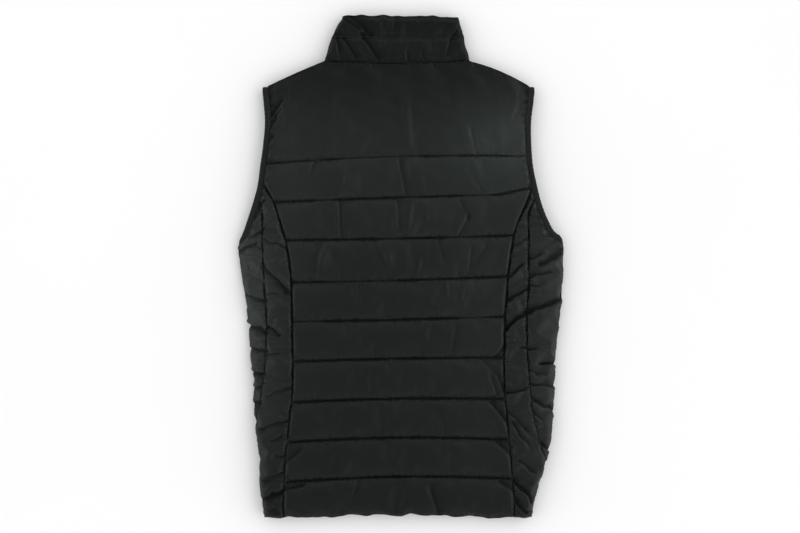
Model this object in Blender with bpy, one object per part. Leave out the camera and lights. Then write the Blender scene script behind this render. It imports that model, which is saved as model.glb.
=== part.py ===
"""Quilted puffer vest, laid flat on its front with the back panel up.

Run with: blender --background --python part.py
Metres, +Z up. The vest lies on z = 0 with its hem toward -Y and its collar toward +Y.

The vest is a flattened tube. A point on it is given by the side (left is -X), the way round
from the centre back, the height above the hem, and the reach out from the mid-plane between
the back layer and the front layer. Sizes in the tables are millimetres.
"""

import math
from collections import namedtuple

import bmesh
import bpy
from mathutils import Vector

MM = 0.001
LEFT, RIGHT = -1, 1

# Whole vest.
LENGTH = 728.0            # hem to the top of the collar
BODY_MIDDLE = 12.0        # height of the mid-plane over the floor, in the body
COLLAR_MIDDLE = 9.0       # the same, at the collar
THINNING_FROM, THINNING_TO = 520.0, 640.0

# Walls.
LAYER_GAP = 1.0           # from the mid-plane to the lining of either layer
SEAM_GAP = 0.3            # between two pieces at a seam
CROWN = 12.5              # padded thickness in the middle of a back channel
SIDE_CROWN = 11.0         # padded thickness of the side panels and fronts
QUILT_LOFT = 3.5          # thickness where a quilting line is sewn through
SEAM_LOFT = 4.5           # thickness at a seam or bound edge
SIDE_SEAM_LOFT = 10.0     # the side seam is hardly drawn in
FOLD_ROUND = SIDE_CROWN + LAYER_GAP     # radius of the side folds
FOLD_SLACK = (math.pi - 2) * FOLD_ROUND   # way round the full fold, less twice its radius

# Quilting and seams: how far the padding takes to rise from the stitches.
QUILT_REACH = 21.0
SEAM_REACH = 13.0

# Grids.
CHANNEL_STEPS = 6
YOKE_STEPS = 12
BACK_COLUMNS = 18
LEFT_NECK_COLUMN, RIGHT_NECK_COLUMN = 5, 13
SIDE_ROWS = 52
BACK_STRETCH, SIDE_BACK_STRETCH, SIDE_STRETCH, FRONT_STRETCH = 14, 4, 8, 26
SHOULDER_COLUMNS, NECK_COLUMNS = 4, 9
EDGE_HOLD = 8             # power by which a panel's rows lose the bend of its lower and upper edges
FRONT_CROWDING = 1.5      # sets the fronts' columns closer on the side fold
FRONT_ROW_POWER = 1.2     # keeps the rows below the armhole edge
COLLAR_BACK_COLUMNS, COLLAR_FOLD_COLUMNS = 10, 5
COLLAR_CHANNEL_STEPS = 4
BINDING_SIDES = 8
SHOULDER_TURN_SECTIONS = 5

Row = namedtuple("Row", "height left right")

# Outermost point of the side folds, from the hem to the underarm.
FOLD_OUTLINE = [
    Row(0.0, 199.0, 190.4),
    Row(10.0, 200.6, 192.2),
    Row(39.0, 204.3, 198.4),
    Row(68.0, 205.4, 207.6),
    Row(97.0, 207.6, 215.2),
    Row(126.0, 212.2, 219.4),
    Row(184.0, 214.6, 223.2),
    Row(242.0, 219.0, 226.4),
    Row(300.0, 224.6, 232.6),
    Row(358.0, 233.4, 236.0),
    Row(387.0, 236.4, 236.2),
    Row(402.0, 235.6, 235.6),
]

# Princess seams: from the centre line to the curved seam beside the quilted back.
PRINCESS = [
    Row(0.0, 170.4, 164.6),
    Row(39.0, 170.4, 163.1),
    Row(91.0, 167.5, 158.8),
    Row(143.6, 161.7, 154.4),
    Row(195.8, 157.3, 150.0),
    Row(248.0, 157.3, 150.0),
    Row(300.0, 158.0, 151.5),
    Row(352.0, 160.2, 155.9),
    Row(387.0, 164.6, 160.2),
    Row(422.0, 173.3, 167.5),
    Row(452.0, 183.5, 180.0),
]

# Underarm seams, as the way round from the centre back: low down they run round the fold.
UNDERARM = [
    Row(0.0, 233.0, 222.0),
    Row(40.0, 229.0, 218.0),
    Row(83.0, 224.0, 213.0),
    Row(100.0, 221.5, 203.5),
    Row(133.0, 216.5, 195.5),
    Row(165.0, 205.4, 189.2),
    Row(200.0, 199.4, 186.3),
    Row(230.0, 196.5, 183.4),
    Row(265.0, 195.0, 182.0),
    Row(300.0, 195.5, 182.7),
    Row(335.0, 198.0, 184.9),
    Row(404.0, 200.8, 184.9),
    Row(439.0, 201.2, 185.6),
]
UNDERARM_TOP = 464.0      # height at which the underarm seam meets the armhole
SIDE_WIDTH = 55.0         # from the underarm seam to the side seam, low down
SIDE_SEAM_TURN = (230.0, 330.0)         # heights between which the side seam runs onto the fold

# Armhole edge of the panels on the back layer, and on the front layer, cut deeper.
BACK_ARMHOLE = [
    Row(410.0, 222.5, 216.5),
    Row(428.0, 216.0, 206.3),
    Row(450.0, 208.6, 197.4),
    Row(479.0, 200.6, 189.7),
    Row(508.0, 196.6, 183.8),
    Row(538.0, 192.4, 181.3),
    Row(573.0, 189.6, 180.9),
    Row(600.0, 191.4, 184.0),
    Row(618.0, 193.2, 186.0),
]
UNDERARM_TURN = (400.5, 393.0, 393.0)   # heights where the edge starts, halves and ends its fold
FOLD_TOP = 388.0          # above this height the fold is as thin as the armhole edge
FRONT_ARMHOLE = [
    Row(394.5, 219.0, 218.0),
    Row(399.5, 208.0, 207.0),
    Row(409.0, 198.5, 196.5),
    Row(427.0, 189.0, 186.0),
    Row(456.0, 182.5, 178.0),
    Row(495.0, 178.5, 173.0),
    Row(540.0, 178.0, 170.5),
    Row(580.0, 182.0, 173.5),
    Row(618.0, 193.2, 186.0),
]

# Shoulders and neck: from the centre line.
SHOULDER_TIP = Row(625.5, 193.2, 186.0)
SHOULDER_NECK = Row(661.4, 112.5, 101.0)
SHOULDER_ARCH = Row(0.0, 1.0, 4.0)      # rise of the shoulder seam's middle over a straight line
Neck = namedtuple("Neck", "left centre right")
NECK_SEAM = Neck(662.7, 659.0, 663.5)
COLLAR_TOP = Neck(727.6, 728.0, 725.4)
COLLAR_BASE_HALF = Neck(110.9, 0.0, 99.3)
COLLAR_TOP_HALF = Neck(84.8, 0.0, 83.4)
COLLAR_SPREAD = Neck(3.0, 0.0, 0.5)     # how far the collar's sides bow out halfway up
FRONT_NECK_DROP = 55.0
FRONT_HEM_RISE = 6.0      # the fronts' hems rise to the zip
NECK_BEND = 2.4           # power of the front neck curve
NECK_GAP = 0.5            # between the collar and the panels, on the slope of the front neck
COLLAR_CROWN = 8.0
COLLAR_QUILT_LOFT = 5.0
COLLAR_EDGE_LOFT = 4.5
COLLAR_QUILT_SHARE = 0.54

# Quilting lines of the back from the hem up: heights at the left, middle and right, and how
# far the right end turns up.
QuiltLine = namedtuple("QuiltLine", "left centre right upturn")
QUILT_LINES = [
    QuiltLine(0.0, 4.0, 1.0, 0.0),
    QuiltLine(51.0, 59.5, 56.5, 0.0),
    QuiltLine(109.0, 116.0, 113.0, 0.0),
    QuiltLine(167.0, 172.5, 172.0, 0.0),
    QuiltLine(226.0, 230.5, 232.0, 0.0),
    QuiltLine(284.0, 287.0, 291.5, 0.0),
    QuiltLine(341.0, 344.0, 349.5, 0.0),
    QuiltLine(402.0, 404.5, 409.0, 0.0),
    QuiltLine(457.0, 464.0, 469.0, 8.0),
    QuiltLine(513.0, 523.0, 523.5, 0.0),
]
UPTURN_FROM = 0.85        # share of the width where the upturn starts
LAST_LINE = len(QUILT_LINES) - 1

# Creases pressed into the side panels. Each is a trough between two points, given by the way
# round and the height, with its depth and breadth.
Crease = namedtuple("Crease", "side from_way from_height to_way to_height depth breadth")
CREASES = [
    Crease(LEFT, 252.0, 380.0, 206.0, 394.0, 4.0, 7.0),
    Crease(LEFT, 198.0, 454.0, 213.0, 432.0, 3.0, 8.0),
    Crease(LEFT, 252.0, 322.0, 197.0, 314.0, 4.0, 8.0),
    Crease(LEFT, 250.0, 281.0, 196.0, 271.0, 5.0, 8.0),
    Crease(LEFT, 235.0, 243.0, 196.0, 241.0, 3.0, 8.0),
    Crease(LEFT, 242.0, 218.0, 199.0, 209.0, 3.5, 8.0),
    Crease(LEFT, 236.0, 163.0, 204.0, 168.0, 3.5, 8.0),
    Crease(LEFT, 194.0, 361.0, 166.0, 330.0, 3.0, 8.0),
    Crease(LEFT, 192.0, 278.0, 174.0, 265.0, 3.0, 8.0),
    Crease(LEFT, 192.0, 177.0, 160.0, 191.0, 3.0, 8.0),
    Crease(LEFT, 204.0, 131.0, 166.0, 141.0, 3.5, 8.0),
    Crease(LEFT, 199.0, 54.0, 172.0, 65.0, 3.0, 8.0),
    Crease(LEFT, 203.0, 27.0, 166.0, 40.0, 5.0, 8.0),
    Crease(RIGHT, 159.0, 350.0, 177.0, 365.0, 3.0, 8.0),
    Crease(RIGHT, 155.0, 313.0, 184.0, 329.0, 3.0, 8.0),
    Crease(RIGHT, 152.0, 271.0, 184.0, 297.0, 5.0, 8.0),
    Crease(RIGHT, 184.0, 297.0, 243.0, 318.0, 4.5, 7.0),
    Crease(RIGHT, 201.0, 365.0, 236.0, 382.0, 4.0, 8.0),
    Crease(RIGHT, 174.0, 244.0, 195.0, 243.0, 2.5, 8.0),
    Crease(RIGHT, 198.0, 222.0, 240.0, 223.0, 4.0, 8.0),
    Crease(RIGHT, 186.0, 193.0, 232.0, 190.0, 3.5, 8.0),
    Crease(RIGHT, 192.0, 170.0, 237.0, 150.0, 4.5, 8.0),
    Crease(RIGHT, 157.0, 151.0, 184.0, 126.0, 3.5, 8.0),
    Crease(RIGHT, 162.0, 136.0, 184.0, 104.0, 3.5, 8.0),
    Crease(RIGHT, 201.0, 107.0, 222.0, 96.0, 3.5, 8.0),
    Crease(RIGHT, 163.0, 54.0, 190.0, 24.0, 4.0, 8.0),
]

# Creases of the collar's back: across and share of the way up at both ends, depth and breadth.
CollarCrease = namedtuple("CollarCrease", "from_across from_up to_across to_up depth breadth")
COLLAR_CREASES = [
    CollarCrease(-80.0, 0.97, -44.0, 0.45, 3.0, 7.0),
    CollarCrease(-44.0, 0.45, -35.0, 0.1, 2.5, 7.0),
]

# Armhole binding.
BINDING_HALF_WIDTH = 4.0
BINDING_HALF_THICKNESS = 2.6
BINDING_GAP = 0.5         # to the panels' edge, which curves
BINDING_REACH = 3.0       # from the mid-plane to the middle of the tape
BINDING_SQUARENESS = 0.7  # power that fills out the corners of its oval section

# Zip, slider and pull tab.
ZIP_DROP = 3.5            # middle of the zip below the mid-plane
FRONT_EDGE = 6.3          # from the centre line to the edge of each front
ZIP_FROM, ZIP_TO = 8.0, 664.0
ZIP_ROWS = 12
ZipColumn = namedtuple("ZipColumn", "across half_thickness")
ZIP_SECTION = [
    ZipColumn(-6.0, 0.5),
    ZipColumn(-2.6, 0.5),
    ZipColumn(-2.4, 1.2),
    ZipColumn(2.4, 1.2),
    ZipColumn(2.6, 0.5),
    ZipColumn(6.0, 0.5),
]
SLIDER_WIDTH = 7.6
SLIDER_FROM, SLIDER_TO = 655.0, 667.0
SLIDER_HALF_HEIGHT = 2.3
SLIDER_PLATE = 0.8
SLIDER_POST_FROM = ZIP_TO + SEAM_GAP
CROWN_WIDTH = 2.0         # the slider's loop, which holds the pull tab
CROWN_FROM, CROWN_TO = 656.4, 661.6
CROWN_LOW = 0.5
CROWN_BAR = 0.8
HINGE_HEIGHT_ABOVE_HEM = 659.0
HINGE_Z = 2.2
TAB_WIDTH, TAB_LENGTH, TAB_THICKNESS = 6.0, 26.0, 1.0
TAB_WINDOW_WIDTH, TAB_WINDOW_LENGTH = 3.0, 4.2
TAB_BAR = 1.0
TAB_HOLE_WIDTH, TAB_HOLE_FROM, TAB_HOLE_TO = 2.4, 14.0, 22.0

# Level faces, of the plain lining and the flat underside, are joined.
LEVEL = 0.9999999
FLAT_ANGLE = math.radians(0.1)


# ---------------------------------------------------------------- curves

def lerp(start, end, share):
    """Value a share of the way from start to end."""
    return start + (end - start) * share


def ease(share):
    """Share of the way, starting and ending slowly."""
    return 0.5 - 0.5 * math.cos(math.pi * share)


def step(start, end, value):
    """0 below start, 1 above end, a smooth S between."""
    share = min(max((value - start) / (end - start), 0.0), 1.0)
    return share * share * (3.0 - 2.0 * share)


def through(knots, values, at):
    """Value on the smooth line through the knots: a cubic in each span, with the mean slope of
    the two spans beside each knot."""
    at = min(max(at, knots[0]), knots[-1])
    last = len(knots) - 1
    span = max(i for i in range(last) if knots[i] <= at)

    def slope(i):
        before, after = max(i - 1, 0), min(i + 1, last)
        return (values[after] - values[before]) / (knots[after] - knots[before])

    width = knots[span + 1] - knots[span]
    u = (at - knots[span]) / width
    start, end = values[span], values[span + 1]
    start_slope, end_slope = slope(span) * width, slope(span + 1) * width
    return (
        start * (2 * u**3 - 3 * u**2 + 1)
        + start_slope * (u**3 - 2 * u**2 + u)
        + end * (3 * u**2 - 2 * u**3)
        + end_slope * (u**3 - u**2)
    )


def side_of(row, side):
    """The column of a table row that belongs to a side."""
    return row.left if side == LEFT else row.right


def at_height(rows, side, height):
    """Smooth value of a table at a height."""
    return through([row.height for row in rows], [side_of(row, side) for row in rows], height)


class Edge:
    """Smooth curve through (way, height) points, measured by a share of its length."""

    def __init__(self, points):
        self.points = points
        self.knots = [0.0]
        for start, end in zip(points, points[1:]):
            self.knots.append(self.knots[-1] + math.dist(start, end))

    def at(self, share):
        """Point at a share of the length."""
        length = share * self.knots[-1]
        return tuple(through(self.knots, [point[i] for point in self.points], length) for i in (0, 1))

    def outward(self, share):
        """Unit direction across the curve, to the left of its travel."""
        nudge = 0.004
        start, end = self.at(max(share - nudge, 0.0)), self.at(min(share + nudge, 1.0))
        along = (end[0] - start[0], end[1] - start[1])
        size = math.hypot(*along)
        return (-along[1] / size, along[0] / size)

    def share_where(self, test):
        """Share at which test(point) turns from false to true, by halving."""
        low, high = 0.0, 1.0
        for _ in range(40):
            middle = 0.5 * (low + high)
            if test(self.at(middle)):
                high = middle
            else:
                low = middle
        return high


def quadratic(left, centre, right, share):
    """Curve through three values at shares 0, a half and 1."""
    return (
        left * (1 - share) * (1 - 2 * share)
        + 4 * centre * share * (1 - share)
        + right * share * (2 * share - 1)
    )


# ---------------------------------------------------------------- flattened tube

def middle_at(height):
    """Height of the mid-plane over the floor: the vest thins toward the collar."""
    return lerp(BODY_MIDDLE, COLLAR_MIDDLE, step(THINNING_FROM, THINNING_TO, height))


def swell(distance, reach):
    """Rise of the padding away from a line of stitches: a quarter round, full at the reach."""
    short = 1.0 - min(max(distance, 0.0) / reach, 1.0)
    return math.sqrt(1.0 - short * short)


def fold_loft(height):
    """Thickness of the wall on the side fold: full, but thin at the hem and underarm edges."""
    from_edge = min(height, FOLD_TOP - height)
    return lerp(SEAM_LOFT, SIDE_CROWN, swell(from_edge, SEAM_REACH))


def fold_at(side, height):
    """Distance from the centre line at which the lining turns from back layer to front layer."""
    return at_height(FOLD_OUTLINE, side, height) - LAYER_GAP - fold_loft(height)


def fold_way(height):
    """Way round from back layer to front layer. It shortens where the wall thins just enough
    to leave the points of the front layer where they are."""
    return 2.0 * (LAYER_GAP + fold_loft(height)) + FOLD_SLACK


def way_on_front(side, height, across):
    """Way round from the centre back to a point of the front layer."""
    return 2.0 * fold_at(side, height) + fold_way(height) - across


def spot(side, way, height, reach):
    """Point of the tube in metres: flat back layer, round fold, flat front layer."""
    fold, length = fold_at(side, height), fold_way(height)
    if way <= fold:
        across, up = way, reach
    elif way < fold + length:
        turn = math.pi * (way - fold) / length
        across, up = fold + reach * math.sin(turn), reach * math.cos(turn)
    else:
        across, up = 2.0 * fold + length - way, -reach
    z = max(middle_at(height) + up, 0.0)
    return Vector((side * across, height - LENGTH / 2, z)) * MM


def trough(point, start, end, depth, breadth):
    """Depth of a soft trough along the line from start to end, at a point."""
    line, way_to = Vector(end) - Vector(start), Vector(point) - Vector(start)
    share = min(max(way_to.dot(line) / line.length_squared, 0.0), 1.0)
    return depth * math.exp(-((way_to - line * share).length / breadth) ** 2)


def crease_depth(side, way, height):
    """Depth of the deepest crease of a side at a point."""
    return max(
        trough(
            (way, height), (crease.from_way, crease.from_height),
            (crease.to_way, crease.to_height), crease.depth, crease.breadth,
        )
        for crease in CREASES if crease.side == side
    )


# ---------------------------------------------------------------- seams and edges

def line_height(line, share):
    """Height of a quilting line of the back at a share of the panel's width."""
    quilt = QUILT_LINES[line]
    upturn = quilt.upturn * step(UPTURN_FROM, 1.0, share)
    return quadratic(quilt.left, quilt.centre, quilt.right, share) + upturn


def princess_top(side):
    """Height at which a princess seam meets the armhole."""
    if side == LEFT:
        return lerp(line_height(LAST_LINE - 1, 0.0), line_height(LAST_LINE, 0.0), 0.5)
    return line_height(LAST_LINE - 1, 1.0)


def princess_at(side, height):
    """Distance from the centre line to the princess seam."""
    top = princess_top(side)
    top_row = Row(top, at_height(BACK_ARMHOLE, LEFT, top), at_height(BACK_ARMHOLE, RIGHT, top))
    return at_height(PRINCESS + [top_row], side, height)


def underarm_at(side, height):
    """Way round to the underarm seam."""
    top_row = Row(
        UNDERARM_TOP,
        at_height(BACK_ARMHOLE, LEFT, UNDERARM_TOP),
        at_height(BACK_ARMHOLE, RIGHT, UNDERARM_TOP),
    )
    return at_height(UNDERARM + [top_row], side, height)


def centre_edge(side, height):
    """Half width of the centre back: princess seam below, armhole above."""
    if height <= princess_top(side):
        return princess_at(side, height) - SEAM_GAP / 2
    return at_height(BACK_ARMHOLE, side, height)


def armhole_edge(side):
    """The panels' armhole edge, from the shoulder down the back, round the fold, up the front."""
    points = [(side_of(row, side), row.height) for row in reversed(BACK_ARMHOLE)]
    for index, height in enumerate(UNDERARM_TURN):
        points.append((fold_at(side, height) + index * fold_way(height) / 2, height))
    for row in FRONT_ARMHOLE:
        points.append((way_on_front(side, row.height, side_of(row, side)), row.height))
    return Edge(points)


def armhole_stations(side):
    """Shares of the armhole edge at which its pieces have points, one list for each stretch."""
    edge = armhole_edge(side)
    princess = edge.share_where(lambda point: point[1] < princess_top(side))
    underarm = edge.share_where(lambda point: point[1] < UNDERARM_TOP)
    side_seam = edge.share_where(lambda point: point[0] > side_seam_at(side, point[1]))
    stops = [0.0, princess, underarm, side_seam, 1.0]
    counts = [BACK_STRETCH, SIDE_BACK_STRETCH, SIDE_STRETCH, FRONT_STRETCH]
    return [
        [lerp(start, end, i / count) for i in range(count + 1)]
        for start, end, count in zip(stops, stops[1:], counts)
    ]


def seam_points(seam, side, top, rows):
    """Points of a seam from the hem to its top, at even heights."""
    heights = [lerp(0.0, top, row / rows) for row in range(rows + 1)]
    return [(seam(side, height), height) for height in heights]


def side_seam_at(side, height):
    """Way round to the side seam: on the front layer at the hem, on the fold at the underarm."""
    on_fold = fold_at(side, height) + 0.5 * fold_way(height)
    return lerp(underarm_at(side, height) + SIDE_WIDTH, on_fold, step(*SIDE_SEAM_TURN, height))


def shifted(points, amount):
    """The same points, moved along the way round."""
    return [(way + amount, height) for way, height in points]


def patch(bottom, top, left, right, crowding=1.0):
    """Function that fills four joined edges with a grid: rulings from left to right, which bend
    toward the bottom and top edges near them. Crowding above 1 sets columns closer at the left."""
    columns, rows = len(bottom) - 1, len(left) - 1

    def point(column, row):
        u, v = (column / columns) ** crowding, row / rows
        return tuple(
            lerp(left[row][i], right[row][i], u)
            + (1.0 - v) ** EDGE_HOLD * (bottom[column][i] - lerp(bottom[0][i], bottom[-1][i], u))
            + v**EDGE_HOLD * (top[column][i] - lerp(top[0][i], top[-1][i], u))
            for i in (0, 1)
        )

    return point


# ---------------------------------------------------------------- mesh making

def material(name, colour, roughness, metallic=0.0):
    """Plain Principled material."""
    made = bpy.data.materials.get(name) or bpy.data.materials.new(name)
    made.use_nodes = True
    shader = made.node_tree.nodes["Principled BSDF"]
    shader.inputs["Base Color"].default_value = (*colour, 1.0)
    shader.inputs["Roughness"].default_value = roughness
    shader.inputs["Metallic"].default_value = metallic
    return made


def shell_fabric():
    return material("shell_fabric", (0.012, 0.014, 0.013), 0.45)


def binding_tape():
    return material("binding_tape", (0.008, 0.009, 0.009), 0.6)


def zip_tape():
    return material("zip_tape", (0.010, 0.010, 0.011), 0.7)


def slider_metal():
    return material("slider_metal", (0.05, 0.05, 0.052), 0.35, 1.0)


def add_object(name, mesh, finish, parent, origin=Vector()):
    """Object for a mesh given in world places, its origin at a point, under the vest's empty."""
    for vertex in mesh.vertices:
        vertex.co -= origin
    mesh.materials.append(finish)
    mesh.shade_smooth()
    mesh.set_sharp_from_angle(angle=math.radians(40))
    made = bpy.data.objects.new(name, mesh)
    made.location = origin
    made.parent = parent
    parent.users_collection[0].objects.link(made)
    return made


def wall(name, columns, rows, place, finish, parent):
    """Closed wall: a grid, extruded once, with its first side placed as the lining and its
    second as the shell. place(column, row, depth) gives a point at depth 0 or 1."""
    shape = bmesh.new()
    bmesh.ops.create_grid(shape, x_segments=columns, y_segments=rows, size=0.5)
    lining = shape.verts[:]
    raised = bmesh.ops.extrude_face_region(shape, geom=shape.faces[:], use_keep_orig=True)
    shell = [item for item in raised["geom"] if isinstance(item, bmesh.types.BMVert)]
    for depth, side in enumerate((lining, shell)):
        for vertex in side:
            column = round((vertex.co.x + 0.5) * columns)
            row = round((vertex.co.y + 0.5) * rows)
            vertex.co = place(column, row, depth)
    bmesh.ops.recalc_face_normals(shape, faces=shape.faces[:])
    level = [
        edge for edge in shape.edges
        if all(abs(face.normal.z) > LEVEL for face in edge.link_faces)
    ]
    bmesh.ops.dissolve_limit(shape, angle_limit=FLAT_ANGLE, verts=[], edges=level)
    mesh = bpy.data.meshes.new(name)
    shape.to_mesh(mesh)
    shape.free()
    return add_object(name, mesh, finish, parent)


# ---------------------------------------------------------------- centre back

def top_edge(column):
    """Shoulder and neck edge of the centre back: (across, height) at a column."""
    share = ease(column / BACK_COLUMNS)
    first, last = ease(LEFT_NECK_COLUMN / BACK_COLUMNS), ease(RIGHT_NECK_COLUMN / BACK_COLUMNS)
    if first < share < last:
        across = lerp(-SHOULDER_NECK.left, SHOULDER_NECK.right, (share - first) / (last - first))
        return across, neck_seam_at(across) - NECK_GAP
    side = LEFT if share <= first else RIGHT
    up = share / first if side == LEFT else (1.0 - share) / (1.0 - last)
    across, height = shoulder_point(side, up)
    return side * across, height


def shoulder_point(side, share):
    """Distance from the centre line and height of a point of the shoulder seam, from its tip."""
    across = lerp(side_of(SHOULDER_TIP, side), side_of(SHOULDER_NECK, side), share)
    arch = side_of(SHOULDER_ARCH, side) * 4.0 * share * (1.0 - share)
    return across, lerp(SHOULDER_TIP.height, SHOULDER_NECK.height, share) + arch


def neck_seam_at(across):
    """Height of the back neck seam."""
    share = (across + COLLAR_BASE_HALF.left) / (COLLAR_BASE_HALF.left + COLLAR_BASE_HALF.right)
    share = min(max(share, 0.0), 1.0)
    return quadratic(NECK_SEAM.left, NECK_SEAM.centre, NECK_SEAM.right, share)


def channel_of(row):
    """Quilted channel that a row of the centre back is in, and its share of the way up."""
    channel = min(row // CHANNEL_STEPS, LAST_LINE)
    steps = YOKE_STEPS if channel == LAST_LINE else CHANNEL_STEPS
    return channel, ease((row - channel * CHANNEL_STEPS) / steps)


def centre_back_point(column, row):
    """Across, height, and distances to the lines below and above, for a grid point."""
    share = ease(column / BACK_COLUMNS)
    channel, up = channel_of(row)

    def height_at(at_column):
        below = line_height(channel, ease(at_column / BACK_COLUMNS))
        if channel == LAST_LINE:
            return below, top_edge(at_column)[1]
        return below, line_height(channel + 1, ease(at_column / BACK_COLUMNS))

    below, above = height_at(column)
    height = lerp(below, above, up)
    left = -centre_edge(LEFT, lerp(*height_at(0), up))
    right = centre_edge(RIGHT, lerp(*height_at(BACK_COLUMNS), up))
    across = lerp(left, right, share)
    if channel == LAST_LINE:
        even = lerp(top_edge(0)[0], top_edge(BACK_COLUMNS)[0], share)
        across += up * up * (top_edge(column)[0] - even)
    return across, height, height - below, above - height, across - left, right - across


def make_back_centre(parent):
    """Yoke and nine quilting lines between the princess seams and the armholes."""
    rows = LAST_LINE * CHANNEL_STEPS + YOKE_STEPS

    def place(column, row, depth):
        across, height, from_below, from_above, from_left, from_right = centre_back_point(column, row)
        channel, _ = channel_of(row)
        on_shoulder = column < LEFT_NECK_COLUMN or column > RIGHT_NECK_COLUMN
        gap = LAYER_GAP
        if channel == LAST_LINE and on_shoulder:
            gap = lerp(SEAM_GAP / 2, LAYER_GAP, step(0.0, 14.0, from_above))
        top_reach = QUILT_REACH * 1.4 if channel == LAST_LINE else QUILT_REACH
        rise = (
            swell(from_below, QUILT_REACH)
            * swell(from_above, top_reach)
            * swell(from_left, SEAM_REACH)
            * swell(from_right, SEAM_REACH)
        )
        crown = lerp(CROWN, CROWN * 0.8, step(THINNING_FROM, LENGTH, height))
        low = QUILT_LOFT if 0 < row < rows else SEAM_LOFT
        side = LEFT if across < 0 else RIGHT
        return spot(side, abs(across), height, gap + depth * lerp(low, crown, rise))

    wall("back_centre", BACK_COLUMNS, rows, place, shell_fabric(), parent)


# ---------------------------------------------------------------- side panels

def panel_place(side, point, edges, crown_at):
    """Placing function for a panel that swells up from its edges, each given as the wall's
    thickness there and its points."""

    def place(column, row, depth):
        way, height = point(column, row)
        crown = crown_at(height)
        loft = crown
        for low, points in edges:
            distance = min(math.dist((way, height), other) for other in points)
            loft *= lerp(low / crown, 1.0, swell(distance, SEAM_REACH))
        loft = max(loft, SEAM_LOFT) - crease_depth(side, way, height)
        return spot(side, way, height, LAYER_GAP + depth * max(loft, QUILT_LOFT))

    return place


def hem_points(start, end, columns, rise=0.0, crowding=1.0):
    """Points along the hem between two ways round; the hem may rise toward the end."""
    shares = [(column / columns) ** crowding for column in range(columns + 1)]
    return [(lerp(start, end, share), rise * ease(share)) for share in shares]


def make_side_back(side, name, parent):
    """Narrow panel between the princess seam and the underarm seam."""
    edge = armhole_edge(side)
    top = [edge.at(share) for share in armhole_stations(side)[1]]
    princess = shifted(seam_points(princess_at, side, princess_top(side), SIDE_ROWS), SEAM_GAP / 2)
    underarm = shifted(seam_points(underarm_at, side, UNDERARM_TOP, SIDE_ROWS), -SEAM_GAP / 2)
    columns = len(top) - 1
    top[0], top[-1] = princess[-1], underarm[-1]
    bottom = hem_points(princess[0][0], underarm[0][0], columns)
    edges = [(SEAM_LOFT, points) for points in (bottom, top, princess, underarm)]
    place = panel_place(side, patch(bottom, top, princess, underarm), edges, lambda _: SIDE_CROWN)
    wall(name, columns, SIDE_ROWS, place, shell_fabric(), parent)


def make_side(side, name, parent):
    """Underarm panel, which wraps round the fold to the side seam."""
    edge = armhole_edge(side)
    top = [edge.at(share) for share in armhole_stations(side)[2]]
    underarm = shifted(seam_points(underarm_at, side, UNDERARM_TOP, SIDE_ROWS), SEAM_GAP / 2)
    side_seam = shifted(seam_points(side_seam_at, side, top[-1][1], SIDE_ROWS), -SEAM_GAP / 2)
    columns = len(top) - 1
    top[0], top[-1] = underarm[-1], side_seam[-1]
    bottom = hem_points(underarm[0][0], side_seam[0][0], columns)
    edges = [(SEAM_LOFT, points) for points in (bottom, top, underarm)]
    edges.append((SIDE_SEAM_LOFT, side_seam))
    place = panel_place(side, patch(bottom, top, underarm, side_seam), edges, lambda _: SIDE_CROWN)
    wall(name, columns, SIDE_ROWS, place, shell_fabric(), parent)


# ---------------------------------------------------------------- fronts

def front_neck_at(side, across):
    """Height of the front neck seam: level at the side, lowest at the centre front."""
    half = collar_fold(side, 0.0)
    share = min(across / half, 1.0)
    return side_of_neck(NECK_SEAM, side) - FRONT_NECK_DROP * (1.0 - share**NECK_BEND)


def front_neck_ways(side):
    """Distances from the centre line of the points that collar and front share at the neck."""
    start, count = collar_fold(side, 0.0), NECK_COLUMNS
    return [lerp(start, FRONT_EDGE, column / count) for column in range(count + 1)]


def make_front(side, name, parent):
    """One front, from the side seam and armhole to the zip."""
    edge = armhole_edge(side)
    armhole = [edge.at(share) for share in armhole_stations(side)[3]]
    tip = side_of(SHOULDER_TIP, side)
    tip_point = (way_on_front(side, SHOULDER_TIP.height, tip), SHOULDER_TIP.height)
    side_seam = shifted(seam_points(side_seam_at, side, armhole[0][1], SIDE_ROWS), SEAM_GAP / 2)
    outer = side_seam + armhole[1:] + [tip_point]
    rows = len(outer) - 1
    shoulder = [shoulder_point(side, i / SHOULDER_COLUMNS) for i in range(SHOULDER_COLUMNS + 1)]
    neckline = [(across, front_neck_at(side, across) - 2 * NECK_GAP) for across in front_neck_ways(side)]
    top = [(way_on_front(side, height, across), height) for across, height in shoulder + neckline[1:]]
    columns = len(top) - 1
    closing = way_on_front(side, FRONT_HEM_RISE, FRONT_EDGE)
    bottom = hem_points(outer[0][0], closing, columns, FRONT_HEM_RISE, FRONT_CROWDING)
    inner = []
    for row in range(rows + 1):
        height = lerp(FRONT_HEM_RISE, top[-1][1], (row / rows) ** FRONT_ROW_POWER)
        inner.append((way_on_front(side, height, FRONT_EDGE), height))
    point = patch(bottom, top, outer, inner, FRONT_CROWDING)
    edges = [(SEAM_LOFT, points) for points in (bottom, top, inner, armhole)]
    edges.append((SIDE_SEAM_LOFT, side_seam))
    fill = panel_place(side, point, edges, lambda height: middle_at(height) - LAYER_GAP)

    def place(column, row, depth):
        found = fill(column, row, depth)
        if depth == 0 and column <= SHOULDER_COLUMNS:
            way, height = point(column, row)
            from_shoulder = top[column][1] - height
            found.z += (LAYER_GAP - SEAM_GAP / 2) * MM * (1.0 - step(0.0, 14.0, from_shoulder))
        return found

    wall(name, columns, rows, place, shell_fabric(), parent)


# ---------------------------------------------------------------- collar

def side_of_neck(neck, side):
    """The value of a neck row that belongs to a side."""
    return neck.left if side == LEFT else neck.right


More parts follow.
